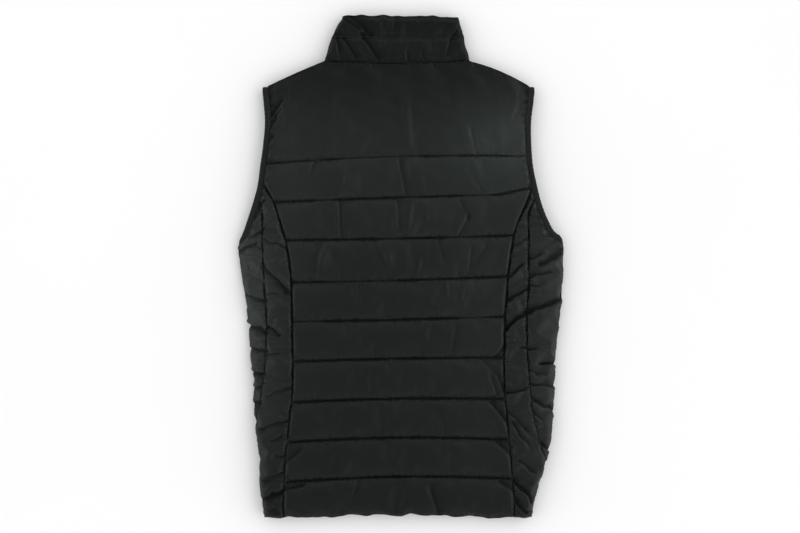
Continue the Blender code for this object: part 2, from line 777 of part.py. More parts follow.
def collar_loft(up):
    """Thickness of the collar a share of the way up: thin at its seam, quilting line and top."""
    line, rise = COLLAR_QUILT_SHARE, COLLAR_CROWN
    below, above = step(0.0, 0.2, up), 1.0 - step(0.85, 1.0, up)
    beside = step(0.0, 0.12, abs(up - line))
    return min(lerp(COLLAR_EDGE_LOFT, rise, below), lerp(COLLAR_EDGE_LOFT, rise, above),
               lerp(COLLAR_QUILT_LOFT, rise, beside))


def collar_fold(side, up):
    """Distance from the centre line at which the collar's lining turns to the front."""
    outline = lerp(side_of_neck(COLLAR_BASE_HALF, side), side_of_neck(COLLAR_TOP_HALF, side), up)
    outline += side_of_neck(COLLAR_SPREAD, side) * 4.0 * up * (1.0 - up)
    return outline - LAYER_GAP - collar_loft(up)


def collar_columns(side, up):
    """Points round half of the collar from the centre back: (across, turn) at one height, with
    the turn 0 on the back layer and pi on the front layer."""
    fold = collar_fold(side, up)
    back = [(fold * i / COLLAR_BACK_COLUMNS, 0.0) for i in range(COLLAR_BACK_COLUMNS)]
    turning = [(fold, math.pi * i / COLLAR_FOLD_COLUMNS) for i in range(COLLAR_FOLD_COLUMNS)]
    front = [(lerp(fold, FRONT_EDGE, i / NECK_COLUMNS), math.pi) for i in range(NECK_COLUMNS + 1)]
    return back + turning + front


def make_collar(parent):
    """Stand collar: one wall from the left front edge round the back to the right front edge."""
    half = COLLAR_BACK_COLUMNS + COLLAR_FOLD_COLUMNS + NECK_COLUMNS
    columns = 2 * half
    rows = 2 * COLLAR_CHANNEL_STEPS

    def place(column, row, depth):
        side = LEFT if column < half else RIGHT
        if row <= COLLAR_CHANNEL_STEPS:
            up = COLLAR_QUILT_SHARE * ease(row / COLLAR_CHANNEL_STEPS)
        else:
            up = lerp(COLLAR_QUILT_SHARE, 1.0, ease(row / COLLAR_CHANNEL_STEPS - 1.0))
        across, turn = collar_columns(side, up)[abs(column - half)]
        base_share = 0.5 + 0.5 * side * across / collar_fold(side, up)
        seam = quadratic(NECK_SEAM.left, NECK_SEAM.centre, NECK_SEAM.right, base_share)
        top = quadratic(COLLAR_TOP.left, COLLAR_TOP.centre, COLLAR_TOP.right, base_share)
        if turn == math.pi:
            drop = FRONT_NECK_DROP * (1.0 - (across / collar_fold(side, up)) ** NECK_BEND)
            seam = side_of_neck(NECK_SEAM, side) - drop
            top = side_of_neck(COLLAR_TOP, side) - drop
        height = lerp(seam, top, up)
        loft = collar_loft(up)
        if turn == 0.0:
            loft -= max(
                trough(
                    (side * across, height), (crease.from_across, lerp(seam, top, crease.from_up)),
                    (crease.to_across, lerp(seam, top, crease.to_up)), crease.depth, crease.breadth,
                )
                for crease in COLLAR_CREASES
            )
        reach = LAYER_GAP + depth * loft
        x = side * (across + reach * math.sin(turn))
        z = middle_at(LENGTH) + reach * math.cos(turn)
        return Vector((x, height - LENGTH / 2, max(z, 0.0))) * MM

    wall("collar", columns, rows, place, shell_fabric(), parent)


# ---------------------------------------------------------------- armhole binding

def make_binding(side, name, parent):
    """Tape round the armhole: a ring whose sections follow the armhole edge and close round
    the shoulder seam."""
    edge = armhole_edge(side)
    stations = [0.0]
    for stretch in armhole_stations(side):
        stations += stretch[1:]
    sections = len(stations) + SHOULDER_TURN_SECTIONS
    bpy.ops.mesh.primitive_torus_add(
        major_segments=sections, minor_segments=BINDING_SIDES, major_radius=1.0, minor_radius=0.25,
    )
    ring = bpy.context.object
    mesh = ring.data

    def oval(angle):
        """Across and through the tape at an angle of its rounded section."""
        across = math.copysign(abs(math.cos(angle)) ** BINDING_SQUARENESS, math.cos(angle))
        through_tape = math.copysign(abs(math.sin(angle)) ** BINDING_SQUARENESS, math.sin(angle))
        return BINDING_HALF_WIDTH * (1.0 + across) + BINDING_GAP, BINDING_HALF_THICKNESS * through_tape

    def place(section, angle):
        out, proud = oval(angle)
        reach = BINDING_REACH + proud
        if section < len(stations):
            way, height = edge.at(stations[section])
            across_way, across_height = edge.outward(stations[section])
            return spot(side, way + across_way * out, height + across_height * out, reach)
        turn = math.pi * (section - len(stations) + 1) / (SHOULDER_TURN_SECTIONS + 1)
        way, height = edge.at(0.0)
        z = middle_at(height) - reach * math.cos(turn)
        y = height - LENGTH / 2 + reach * math.sin(turn)
        return Vector((side * (way + out), y, z)) * MM

    for vertex in mesh.vertices:
        around = math.atan2(vertex.co.y, vertex.co.x) % (2 * math.pi)
        section = round(around / (2 * math.pi) * sections) % sections
        angle = math.atan2(vertex.co.z, math.hypot(vertex.co.x, vertex.co.y) - 1.0)
        vertex.co = place(section, angle)
    shape = bmesh.new()
    shape.from_mesh(mesh)
    bmesh.ops.recalc_face_normals(shape, faces=shape.faces[:])
    made = bpy.data.meshes.new(name)
    shape.to_mesh(made)
    shape.free()
    bpy.data.objects.remove(ring)
    add_object(name, made, binding_tape(), parent)


# ---------------------------------------------------------------- zip

def zip_middle(height):
    """Height of the zip's middle over the floor."""
    return middle_at(height) - ZIP_DROP


def make_zip(parent):
    """Both tapes and the closed chain as one strip."""

    def place(column, row, depth):
        section = ZIP_SECTION[column]
        height = lerp(ZIP_FROM, ZIP_TO, row / ZIP_ROWS)
        z = zip_middle(height) + (2 * depth - 1) * section.half_thickness
        return Vector((section.across, height - LENGTH / 2, z)) * MM

    wall("zip", len(ZIP_SECTION) - 1, ZIP_ROWS, place, zip_tape(), parent)


def plate(name, outlines, thickness):
    """Mesh of a flat plate in its own x and y: a 2D curve with holes, extruded both ways."""
    curve = bpy.data.curves.new(name, "CURVE")
    curve.dimensions = "2D"
    curve.fill_mode = "BOTH"
    curve.extrude = thickness * MM / 2
    for outline in outlines:
        spline = curve.splines.new("POLY")
        spline.points.add(len(outline) - 1)
        for point, (x, y) in zip(spline.points, outline):
            point.co = (x * MM, y * MM, 0.0, 1.0)
        spline.use_cyclic_u = True
    holder = bpy.data.objects.new(name, curve)
    bpy.context.scene.collection.objects.link(holder)
    evaluated = holder.evaluated_get(bpy.context.evaluated_depsgraph_get())
    mesh = bpy.data.meshes.new_from_object(evaluated)
    bpy.data.objects.remove(holder)
    bpy.data.curves.remove(curve)
    shape = bmesh.new()
    shape.from_mesh(mesh)
    bmesh.ops.remove_doubles(shape, verts=shape.verts[:], dist=1e-6)
    bmesh.ops.recalc_face_normals(shape, faces=shape.faces[:])
    shape.to_mesh(mesh)
    shape.free()
    return mesh


def box_outline(low_x, high_x, low_y, high_y, chamfer=0.0):
    """Rectangle with cut corners."""
    if not chamfer:
        return [(low_x, low_y), (high_x, low_y), (high_x, high_y), (low_x, high_y)]
    c = chamfer
    return [
        (low_x + c, low_y), (high_x - c, low_y), (high_x, low_y + c), (high_x, high_y - c),
        (high_x - c, high_y), (low_x + c, high_y), (low_x, high_y - c), (low_x, low_y + c),
    ]


def stand_up(mesh):
    """Turn a plate from x, y to y, z, with its thickness along X."""
    for vertex in mesh.vertices:
        vertex.co = (vertex.co.z, vertex.co.x, vertex.co.y)


def make_slider(parent):
    """Slider: two plates joined by a post at the top, and a loop below for the pull tab."""
    middle = zip_middle(SLIDER_FROM)
    low, high = middle - SLIDER_HALF_HEIGHT, middle + SLIDER_HALF_HEIGHT
    body_outline = [
        (SLIDER_FROM, low), (SLIDER_TO, low), (SLIDER_TO, high), (SLIDER_FROM, high),
        (SLIDER_FROM, high - SLIDER_PLATE), (SLIDER_POST_FROM, high - SLIDER_PLATE),
        (SLIDER_POST_FROM, low + SLIDER_PLATE), (SLIDER_FROM, low + SLIDER_PLATE),
    ]
    inside = low + SLIDER_PLATE / 2
    loop_outline = box_outline(CROWN_FROM, CROWN_TO, CROWN_LOW, inside)
    loop_hole = box_outline(CROWN_FROM + CROWN_BAR, CROWN_TO - CROWN_BAR, CROWN_LOW + CROWN_BAR, low)
    body = plate("slider_body", [body_outline], SLIDER_WIDTH)
    loop = plate("slider_loop", [loop_outline, loop_hole], CROWN_WIDTH)
    holders = []
    for mesh in (body, loop):
        stand_up(mesh)
        holders.append(bpy.data.objects.new(mesh.name, mesh))
        bpy.context.scene.collection.objects.link(holders[-1])
    union = holders[0].modifiers.new("loop", "BOOLEAN")
    union.operation = "UNION"
    union.object = holders[1]
    evaluated = holders[0].evaluated_get(bpy.context.evaluated_depsgraph_get())
    joined = bpy.data.meshes.new_from_object(evaluated)
    for holder in holders:
        bpy.data.objects.remove(holder)
    for vertex in joined.vertices:
        vertex.co.y -= LENGTH / 2 * MM
    joined.name = "zip_slider"
    joined.materials.clear()
    add_object("zip_slider", joined, slider_metal(), parent)


def make_pull_tab(parent):
    """Pull tab, hinged on the bar inside the slider's loop; its origin is on the hinge."""
    hinge_top = TAB_BAR / 2
    outline = box_outline(-TAB_WIDTH / 2, TAB_WIDTH / 2, hinge_top - TAB_LENGTH, hinge_top, 1.0)
    window = box_outline(-TAB_WINDOW_WIDTH / 2, TAB_WINDOW_WIDTH / 2,
                         -hinge_top - TAB_WINDOW_LENGTH, -hinge_top)
    hole = box_outline(-TAB_HOLE_WIDTH / 2, TAB_HOLE_WIDTH / 2, -TAB_HOLE_TO, -TAB_HOLE_FROM, 0.8)
    mesh = plate("zip_pull_tab", [outline, window, hole], TAB_THICKNESS)
    hinge = Vector((0.0, HINGE_HEIGHT_ABOVE_HEM - LENGTH / 2, HINGE_Z)) * MM
    for vertex in mesh.vertices:
        vertex.co += hinge
    add_object("zip_pull_tab", mesh, slider_metal(), parent, hinge)


# ---------------------------------------------------------------- vest

def main():
    for old in list(bpy.data.objects):
        bpy.data.objects.remove(old)
    collection = bpy.data.collections.new("puffer_vest")
    bpy.context.scene.collection.children.link(collection)
    vest = bpy.data.objects.new("vest", None)
    collection.objects.link(vest)

    make_back_centre(vest)
    for side, word in ((LEFT, "left"), (RIGHT, "right")):
        make_side_back(side, f"side_back_{word}", vest)
        make_side(side, f"side_{word}", vest)
        make_front(side, f"front_{word}", vest)
        make_binding(side, f"armhole_binding_{word}", vest)
    make_collar(vest)
    make_zip(vest)
    make_slider(vest)
    make_pull_tab(vest)


main()
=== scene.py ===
"""Looks of a quilted puffer vest, laid flat on its front with the back panel up.

The vest is a flattened tube. A point of it is given by the side (left is -X), the way round from
the centre back, the height above the hem, and the reach out from the mid-plane between the back
layer and the front layer. Sizes are millimetres until a mesh is made, and then metres.
"""

import math
from collections import namedtuple
from functools import partial

import bpy
import numpy as np
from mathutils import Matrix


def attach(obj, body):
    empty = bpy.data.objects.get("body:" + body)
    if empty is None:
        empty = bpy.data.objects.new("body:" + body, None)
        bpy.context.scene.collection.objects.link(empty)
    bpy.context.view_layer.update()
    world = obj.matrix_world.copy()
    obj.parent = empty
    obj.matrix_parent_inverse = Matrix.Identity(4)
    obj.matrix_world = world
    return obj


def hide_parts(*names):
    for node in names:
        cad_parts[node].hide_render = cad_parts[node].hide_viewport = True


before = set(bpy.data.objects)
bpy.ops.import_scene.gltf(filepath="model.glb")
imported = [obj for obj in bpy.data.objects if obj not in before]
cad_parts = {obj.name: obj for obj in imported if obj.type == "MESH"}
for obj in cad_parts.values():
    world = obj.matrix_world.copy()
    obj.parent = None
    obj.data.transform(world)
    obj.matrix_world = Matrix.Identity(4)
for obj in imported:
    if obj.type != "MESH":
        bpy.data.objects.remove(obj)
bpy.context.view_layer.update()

MM = 0.001
LEFT, RIGHT = -1, 1
SIDE_NAMES = ((LEFT, "left"), (RIGHT, "right"))

# ---------------------------------------------------------------- sizes of the vest
LENGTH = 728.0            # hem to the top of the collar
BODY_MIDDLE, COLLAR_MIDDLE = 12.0, 9.0   # the mid-plane over the floor
THINNING = (520.0, 640.0)                # heights between which it comes down
LAYER_GAP = 1.0           # from the mid-plane to the lining of either layer
SEAM_GAP = 0.0            # between two panels at a seam
CROWN, TOP_CROWN, SIDE_CROWN = 12.5, 10.0, 11.0   # padded thickness: back, at the collar, sides
QUILT_LOFT, SEAM_LOFT, SIDE_SEAM_LOFT = 3.5, 4.5, 10.0
FOLD_SLACK = (math.pi - 2) * (SIDE_CROWN + LAYER_GAP)   # way round a side fold, less two radii
QUILT_REACH, SEAM_REACH = 21.0, 13.0     # how far the padding takes to rise from the stitches
YOKE_REACH = QUILT_REACH * 1.4

Row = namedtuple("Row", "height left right")
Neck = namedtuple("Neck", "left centre right")
QuiltLine = namedtuple("QuiltLine", "left centre right upturn")
Crease = namedtuple("Crease", "from_way from_height to_way to_height depth breadth")

# Outermost point of the side folds, from the hem to the underarm.
FOLD_OUTLINE = [
    Row(0.0, 199.0, 190.4),
    Row(10.0, 200.6, 192.2),
    Row(39.0, 204.3, 198.4),
    Row(68.0, 205.4, 207.6),
    Row(97.0, 207.6, 215.2),
    Row(126.0, 212.2, 219.4),
    Row(184.0, 214.6, 223.2),
    Row(242.0, 219.0, 226.4),
    Row(300.0, 224.6, 232.6),
    Row(358.0, 233.4, 236.0),
    Row(387.0, 236.4, 236.2),
    Row(402.0, 235.6, 235.6),
]
# Curved back seams: distance from the centre line.
PRINCESS = [
    Row(0.0, 170.4, 164.6),
    Row(39.0, 170.4, 163.1),
    Row(91.0, 167.5, 158.8),
    Row(143.6, 161.7, 154.4),
    Row(195.8, 157.3, 150.0),
    Row(248.0, 157.3, 150.0),
    Row(300.0, 158.0, 151.5),
    Row(352.0, 160.2, 155.9),
    Row(387.0, 164.6, 160.2),
    Row(422.0, 173.3, 167.5),
    Row(452.0, 183.5, 180.0),
]
# Underarm seams: way round from the centre back.
UNDERARM = [
    Row(0.0, 233.0, 222.0),
    Row(40.0, 229.0, 218.0),
    Row(83.0, 224.0, 213.0),
    Row(100.0, 221.5, 203.5),
    Row(133.0, 216.5, 195.5),
    Row(165.0, 205.4, 189.2),
    Row(200.0, 199.4, 186.3),
    Row(230.0, 196.5, 183.4),
    Row(265.0, 195.0, 182.0),
    Row(300.0, 195.5, 182.7),
    Row(335.0, 198.0, 184.9),
    Row(404.0, 200.8, 184.9),
    Row(439.0, 201.2, 185.6),
]
UNDERARM_TOP = 464.0
SIDE_WIDTH = 55.0         # underarm seam to side seam, low down
SIDE_SEAM_TURN = (230.0, 330.0)          # heights between which the side seam comes onto the fold
# Armhole edges: distance from the centre line on the back, height of the turn round the fold,
# and distance from the centre line on the front.
BACK_ARMHOLE = [
    Row(410.0, 222.5, 216.5),
    Row(428.0, 216.0, 206.3),
    Row(450.0, 208.6, 197.4),
    Row(479.0, 200.6, 189.7),
    Row(508.0, 196.6, 183.8),
    Row(538.0, 192.4, 181.3),
    Row(573.0, 189.6, 180.9),
    Row(600.0, 191.4, 184.0),
    Row(618.0, 193.2, 186.0),
]
UNDERARM_TURN = (400.5, 393.0, 393.0)
FOLD_TOP = 388.0
FRONT_ARMHOLE = [
    Row(394.5, 219.0, 218.0),
    Row(399.5, 208.0, 207.0),
    Row(409.0, 198.5, 196.5),
    Row(427.0, 189.0, 186.0),
    Row(456.0, 182.5, 178.0),
    Row(495.0, 178.5, 173.0),
    Row(540.0, 178.0, 170.5),
    Row(580.0, 182.0, 173.5),
    Row(618.0, 193.2, 186.0),
]
# Shoulder seams, neck and collar.
SHOULDER_TIP = Row(625.5, 193.2, 186.0)
SHOULDER_NECK = Row(661.4, 112.5, 101.0)
SHOULDER_ARCH = Row(0.0, 1.0, 4.0)
NECK_SEAM = Neck(662.7, 659.0, 663.5)
COLLAR_TOP = Neck(727.6, 728.0, 725.4)
COLLAR_BASE_HALF = Neck(110.9, 0.0, 99.3)
COLLAR_TOP_HALF = Neck(84.8, 0.0, 83.4)
COLLAR_SPREAD = Neck(3.0, 0.0, 0.5)
FRONT_NECK_DROP, NECK_BEND, NECK_GAP = 55.0, 2.4, 0.5
FRONT_HEM_RISE, FRONT_ROW_POWER = 6.0, 1.2
SHOULDER_CLOSING = 14.0   # how far below the shoulder seam the two layers start to close up
COLLAR_CROWN, COLLAR_QUILT_LOFT, COLLAR_EDGE_LOFT, COLLAR_QUILT_SHARE = 8.0, 5.0, 4.5, 0.54
COLLAR_TALL = 65.0
# Quilting lines of the back, from the hem up: heights at the left, centre and right.
QUILT_LINES = [
    QuiltLine(0.0, 4.0, 1.0, 0.0),
    QuiltLine(51.0, 59.5, 56.5, 0.0),
    QuiltLine(109.0, 116.0, 113.0, 0.0),
    QuiltLine(167.0, 172.5, 172.0, 0.0),
    QuiltLine(226.0, 230.5, 232.0, 0.0),
    QuiltLine(284.0, 287.0, 291.5, 0.0),
    QuiltLine(341.0, 344.0, 349.5, 0.0),
    QuiltLine(402.0, 404.5, 409.0, 0.0),
    QuiltLine(457.0, 464.0, 469.0, 8.0),
    QuiltLine(513.0, 523.0, 523.5, 0.0),
]
UPTURN_FROM = 0.85        # share of the width from which a line's right end turns up
LAST_LINE = len(QUILT_LINES) - 1
FRONT_EDGE = 6.3          # from the centre line to the fronts' and the collar's edges
ZIP_DROP, ZIP_FROM, ZIP_TO = 3.5, 8.0, 664.0

# ---------------------------------------------------------------- grids
BACK_COLUMNS, LEFT_NECK_COLUMN, RIGHT_NECK_COLUMN = 120, 28, 92
CHANNEL_ROWS, YOKE_ROWS = 13, 32
SIDE_ROWS = 232
SIDE_BACK_COLUMNS, SIDE_COLUMNS = 22, 34
FRONT_SHOULDER_COLUMNS, FRONT_NECK_COLUMNS = 24, 36
FRONT_SIDE_ROWS, FRONT_ARMHOLE_ROWS = 124, 52
COLLAR_BACK_COLUMNS, COLLAR_FOLD_COLUMNS, COLLAR_FRONT_COLUMNS = 42, 8, 30
COLLAR_CHANNEL_ROWS = 14
BINDING_SECTIONS, BINDING_SIDES, BINDING_TURN = 420, 16, 9
ZIP_ROWS = 120
BEAD_SIDES, BEAD_RINGS = 6, 4
ARMHOLE_STEPS, TAPED_STEPS = 4000, 59    # by which places along an armhole edge are found
SHARP_ANGLE = 50.0        # in degrees: an edge that turns more is sharp
EDGE_HOLD = 8             # power by which a panel's rows lose the bend of its end edges
CROWDING, BACK_CROWDING = 0.55, 0.35     # how much columns crowd at the seams

# ---------------------------------------------------------------- tapes, teeth and thread
BINDING_HALF_WIDTH, BINDING_HALF_THICKNESS, BINDING_LAP = 4.6, 2.0, 1.4
BINDING_REACH, BINDING_SQUARENESS = 3.2, 0.6
BINDING_STITCHED = (4, 5)   # points of the section that the stitches run between
BINDING_TIP = 1.3         # how far the tape is carried up over the shoulder tip, times its reach
BINDING_RIPPLE, RIPPLE_TURNS = 0.22, 610.0
# Section of a zip tape from its outer edge to its bead: across, and over and under its middle.
TAPE_SECTION_ACROSS = (6.0, 3.4, 2.5, 1.9, 1.4, 1.1)
TAPE_SECTION_PROUD = (0.3, 0.3, 0.34, 0.75, 0.75, 0.4)
TAPE_SECTION_UNDER = (-0.3, -0.3, -0.34, -0.75, -0.75, -0.4)
TAPE_STIFF_TO = 2.0       # the bead, this far from the centre line, does not wave
TOOTH_PITCH, TOOTH_FROM, TOOTH_TO = 3.2, -0.7, 2.3
TOOTH_WIDTH, TOOTH_HEIGHT = 1.35, 2.2
THREAD_WIDTH, THREAD_HEIGHT = 0.45, 0.4
STITCH_PITCH, STITCH_LENGTH = 3.3, 2.7

# ---------------------------------------------------------------- padding
PUFF = 1.0                # what the padding's push adds to a crown
PUFFING = dict(frames=20, push=0.8, stiffness=25.0, bending=25.0, most=4.5)
SLACK, SIDE_SLACK = {"back_centre": 0.003, "collar": 0.005}, 0.012
BACK_HOLD, SIDE_HOLD, COLLAR_HOLD = 0.04, 0.10, 0.12   # how firmly the lining holds the cloth
STITCHED_REACH = 6.5      # how far a sewn seam pulls the padding down on either side
TAPED_LOFT, LEAST_LOFT, LEAST_COLLAR_LOFT = 3.8, 1.6, 2.0
TAPED_FROM = 450.0        # height from which tape and no seam edges the centre back
QUILT_UNEVEN, QUILT_UNEVEN_FROM = 2.6, (190.0, 300.0)  # how much shallower some lines are, and where
UNEVEN, SIDE_UNEVEN = 0.3, 0.4           # how uneven the padding is between the stitches
EDGE_SAG_REACH = 50.0     # how far in from the side folds the vest lies lower
EDGE_SAG = [
    Row(0.0, 0.10, 0.15),
    Row(120.0, 0.14, 0.18),
    Row(240.0, 0.42, 0.32),
    Row(400.0, 0.52, 0.32),
    Row(620.0, 0.30, 0.25),
    Row(728.0, 0.0, 0.0),
]
YOKE_FALL = Neck(3.5, 0.0, 5.0)   # how much lower the yoke's sides are than its middle
YOKE_NECK_FALL, YOKE_HALF = 4.0, 190.0
SEAM_RISE, SEAM_RISE_FROM = 3.4, (110.0, 340.0)   # how much shallower seams are low down, and where
SEAM_RISE_REACH = 4.0
FRONT_GROOVE, FRONT_GROOVE_BREADTH = 5.0, 6.0
EDGE_WAVE, EDGE_WAVE_REACH = 0.9, 22.0   # how uneven the hem and the collar's top edge are

# ---------------------------------------------------------------- creases
BACK_CRINKLE, SIDE_CRINKLE = 0.32, 0.9   # depth of the crinkles
LINE_PUCKER, FRONT_PUCKER, COLLAR_PUCKER, SEAM_PUCKER = 1.6, 0.8, 0.96, 1.3   # depth of the puckers
LINE_REACH, FRONT_LINE_REACH, COLLAR_LINE_REACH = 6.0, 5.0, 4.0   # how far they fade from a line
SEAM_PUCKER_REACH, SIDE_PUCKER_REACH = 8.0, 10.0                  # and from a seam
BACK_SEWN, SIDE_SEWN, FRONT_SEWN, COLLAR_SEWN = 1.4, 1.2, 2.5, 2.0   # no crease nearer the stitches
BACK_WRINKLE, SIDE_CREASE, COLLAR_CREASE = 0.68, 0.85, 1.1   # shares of the tables' depths
WRINKLE_BREADTH, RIDGE_BREADTH = 1.25, 1.9                   # and of their breadths
STEEP_LIP, GENTLE_LIP = 0.4, 1.1         # breadths of a crease's lips, as shares of its own
LIP_RIDGE, LIP_RIDGE_OFF, LIP_RIDGE_BREADTH = 0.3, 2.4, 1.6   # ridge before the steep lip
NOISE_WAVES = 24

# ---------------------------------------------------------------- tones of the cloth, with light and shade painted into them
# painted shade in creases: depth at which a crease is fully shaded, how much it darkens the colour, and
# how much rougher it is
DARKEST_CREASE, CREASE_PAINTED_SHADE, CREASE_ROUGH = 2.4, 0.45, 0.45
# painted shade in the grooves beside the stitches, and how far it reaches
STITCHED_PAINTED_SHADE, STITCHED_PAINTED_SHADE_REACH = 0.20, 2.0
# painted shade on the collar's sides where they turn under, and in its creases
FOLD_PAINTED_SHADE, COLLAR_CREASE_PAINTED_SHADE = 0.7, 1.6
TAPED_PAINTED_SHADE, TAPED_PAINTED_SHADE_REACH, TAPED_PAINTED_SHADE_UNEVEN = 0.8, 4.5, 0.7   # painted shade where the cloth is pulled in under the armhole tape
TAPED_PAINTED_SHADE_HEIGHTS, TAPED_PAINTED_SHADE_INSIDE = (360.0, 640.0), 140.0
# darkest and palest base colour, between which the painted light and shade set the tone
DEEP_TONE, PALE_TONE = (0.0004, 0.0014, 0.0011), (0.0216, 0.0264, 0.0251)
PAINTED_SHADING_BY_HEIGHT = [  # painted light and shade by height: share of the height, and share of the way from the deep tone to the pale one
    (0.0, 0.25),
    (0.10, 0.28),
    (0.45, 0.335),
    (0.60, 0.41),
    (0.76, 0.62),
    (0.895, 0.0),
    (0.935, 0.28),
    (1.0, 0.05),
]
PAINTED_HIGHLIGHTS = [  # painted highlights: middle across and up, radii, amount
    (0.115, -0.06, 0.050, 0.26, 0.12),
    (0.165, 0.180, 0.070, 0.06, 0.58),
    (-0.222, -0.02, 0.030, 0.09, 0.95),
    (-0.210, -0.17, 0.030, 0.10, 0.36),
    (0.222, -0.03, 0.032, 0.16, 0.32),
    (0.205, -0.23, 0.030, 0.09, 0.26),
    (-0.165, 0.00, 0.030, 0.20, 0.14),
    (0.168, 0.00, 0.020, 0.16, 0.08),
]

# ---------------------------------------------------------------- view and light, in metres
LENS, SENSOR = 85.0, 36.0
VIEW_WIDTH, VIEW_PLANE, CAMERA_ASIDE = 1.16, 0.014, -0.00145
FLOOR_SIZE, FLOOR_GAP = 8.0, 0.0003
SKY_LIGHT, LEAST_LIGHT = 0.39, 0.2       # all round, and the least from anywhere
SIDE_LIGHT, END_LIGHT, TOP_LIGHT, RIGHT_LIGHT = 2.0, 0.75, 0.08, 0.28

# ---------------------------------------------------------------- folds pressed into the cloth
# Troughs of the side panels: way round and height at both ends.
SIDE_CREASES = {
    LEFT: [
        Crease(250.0, 382.0, 212.0, 396.0, 4.5, 4.0),
        Crease(214.0, 396.0, 203.0, 392.0, 2.5, 3.0),
        Crease(199.0, 457.0, 212.0, 434.0, 3.0, 4.0),
        Crease(213.0, 409.0, 198.0, 419.0, 2.5, 3.5),
        Crease(246.0, 328.0, 196.0, 315.0, 4.0, 4.0),
        Crease(222.0, 352.0, 204.0, 345.0, 2.0, 3.5),
        Crease(250.0, 285.0, 195.0, 271.0, 6.0, 4.5),
        Crease(235.0, 246.0, 195.0, 242.0, 3.0, 3.5),
        Crease(240.0, 213.0, 198.0, 208.0, 3.5, 4.0),
        Crease(236.0, 161.0, 204.0, 168.0, 3.0, 4.5),
        Crease(225.0, 186.0, 205.0, 190.0, 2.5, 4.0),
        Crease(195.0, 402.0, 167.0, 393.0, 2.5, 4.0),
        Crease(194.0, 361.0, 165.0, 329.0, 3.5, 5.0),
        Crease(192.0, 325.0, 180.0, 325.0, 2.0, 3.0),
        Crease(191.0, 277.0, 175.0, 265.0, 3.5, 4.0),
        Crease(195.0, 238.0, 178.0, 238.0, 2.0, 3.5),
        Crease(192.0, 177.0, 160.0, 191.0, 2.0, 4.0),
        Crease(204.0, 130.0, 166.0, 141.0, 2.4, 4.5),
        Crease(188.0, 112.0, 172.0, 118.0, 2.0, 3.5),
        Crease(182.0, 91.0, 169.0, 91.0, 2.0, 3.5),
        Crease(199.0, 54.0, 172.0, 65.0, 1.8, 4.0),
        Crease(204.0, 28.0, 166.0, 40.0, 4.5, 4.5),
        Crease(196.0, 14.0, 180.0, 10.0, 2.0, 3.5),
    ],
    RIGHT: [
        Crease(159.0, 349.0, 176.0, 365.0, 3.5, 4.0),
        Crease(156.0, 315.0, 183.0, 329.0, 3.5, 4.5),
        Crease(151.0, 271.0, 183.0, 297.0, 5.5, 4.5),
        Crease(183.0, 297.0, 240.0, 318.0, 5.0, 4.5),
        Crease(173.0, 244.0, 195.0, 244.0, 2.5, 3.5),
        Crease(160.0, 392.0, 181.0, 402.0, 2.0, 4.0),
        Crease(188.0, 376.0, 202.0, 381.0, 3.0, 3.5),
        Crease(202.0, 365.0, 232.0, 383.0, 4.5, 4.5),
        Crease(188.0, 349.0, 215.0, 355.0, 3.0, 4.0),
        Crease(189.0, 334.0, 205.0, 338.0, 2.0, 3.5),
        Crease(202.0, 222.0, 240.0, 224.0, 4.0, 4.0),
        Crease(185.0, 212.0, 207.0, 206.0, 2.2, 4.0),
        Crease(186.0, 193.0, 234.0, 191.0, 2.6, 4.0),
        Crease(192.0, 170.0, 236.0, 149.0, 3.4, 4.5),
        Crease(191.0, 155.0, 202.0, 141.0, 2.5, 3.5),
        Crease(156.0, 180.0, 180.0, 187.0, 3.0, 4.0),
        Crease(157.0, 151.0, 183.0, 126.0, 2.4, 4.0),
        Crease(162.0, 136.0, 183.0, 104.0, 2.4, 4.0),
        Crease(201.0, 107.0, 220.0, 97.0, 3.5, 4.0),
        Crease(170.0, 82.0, 190.0, 66.0, 2.5, 4.0),
        Crease(163.0, 54.0, 188.0, 25.0, 4.0, 4.5),
        Crease(163.0, 25.0, 180.0, 10.0, 3.0, 4.0),
    ],
}
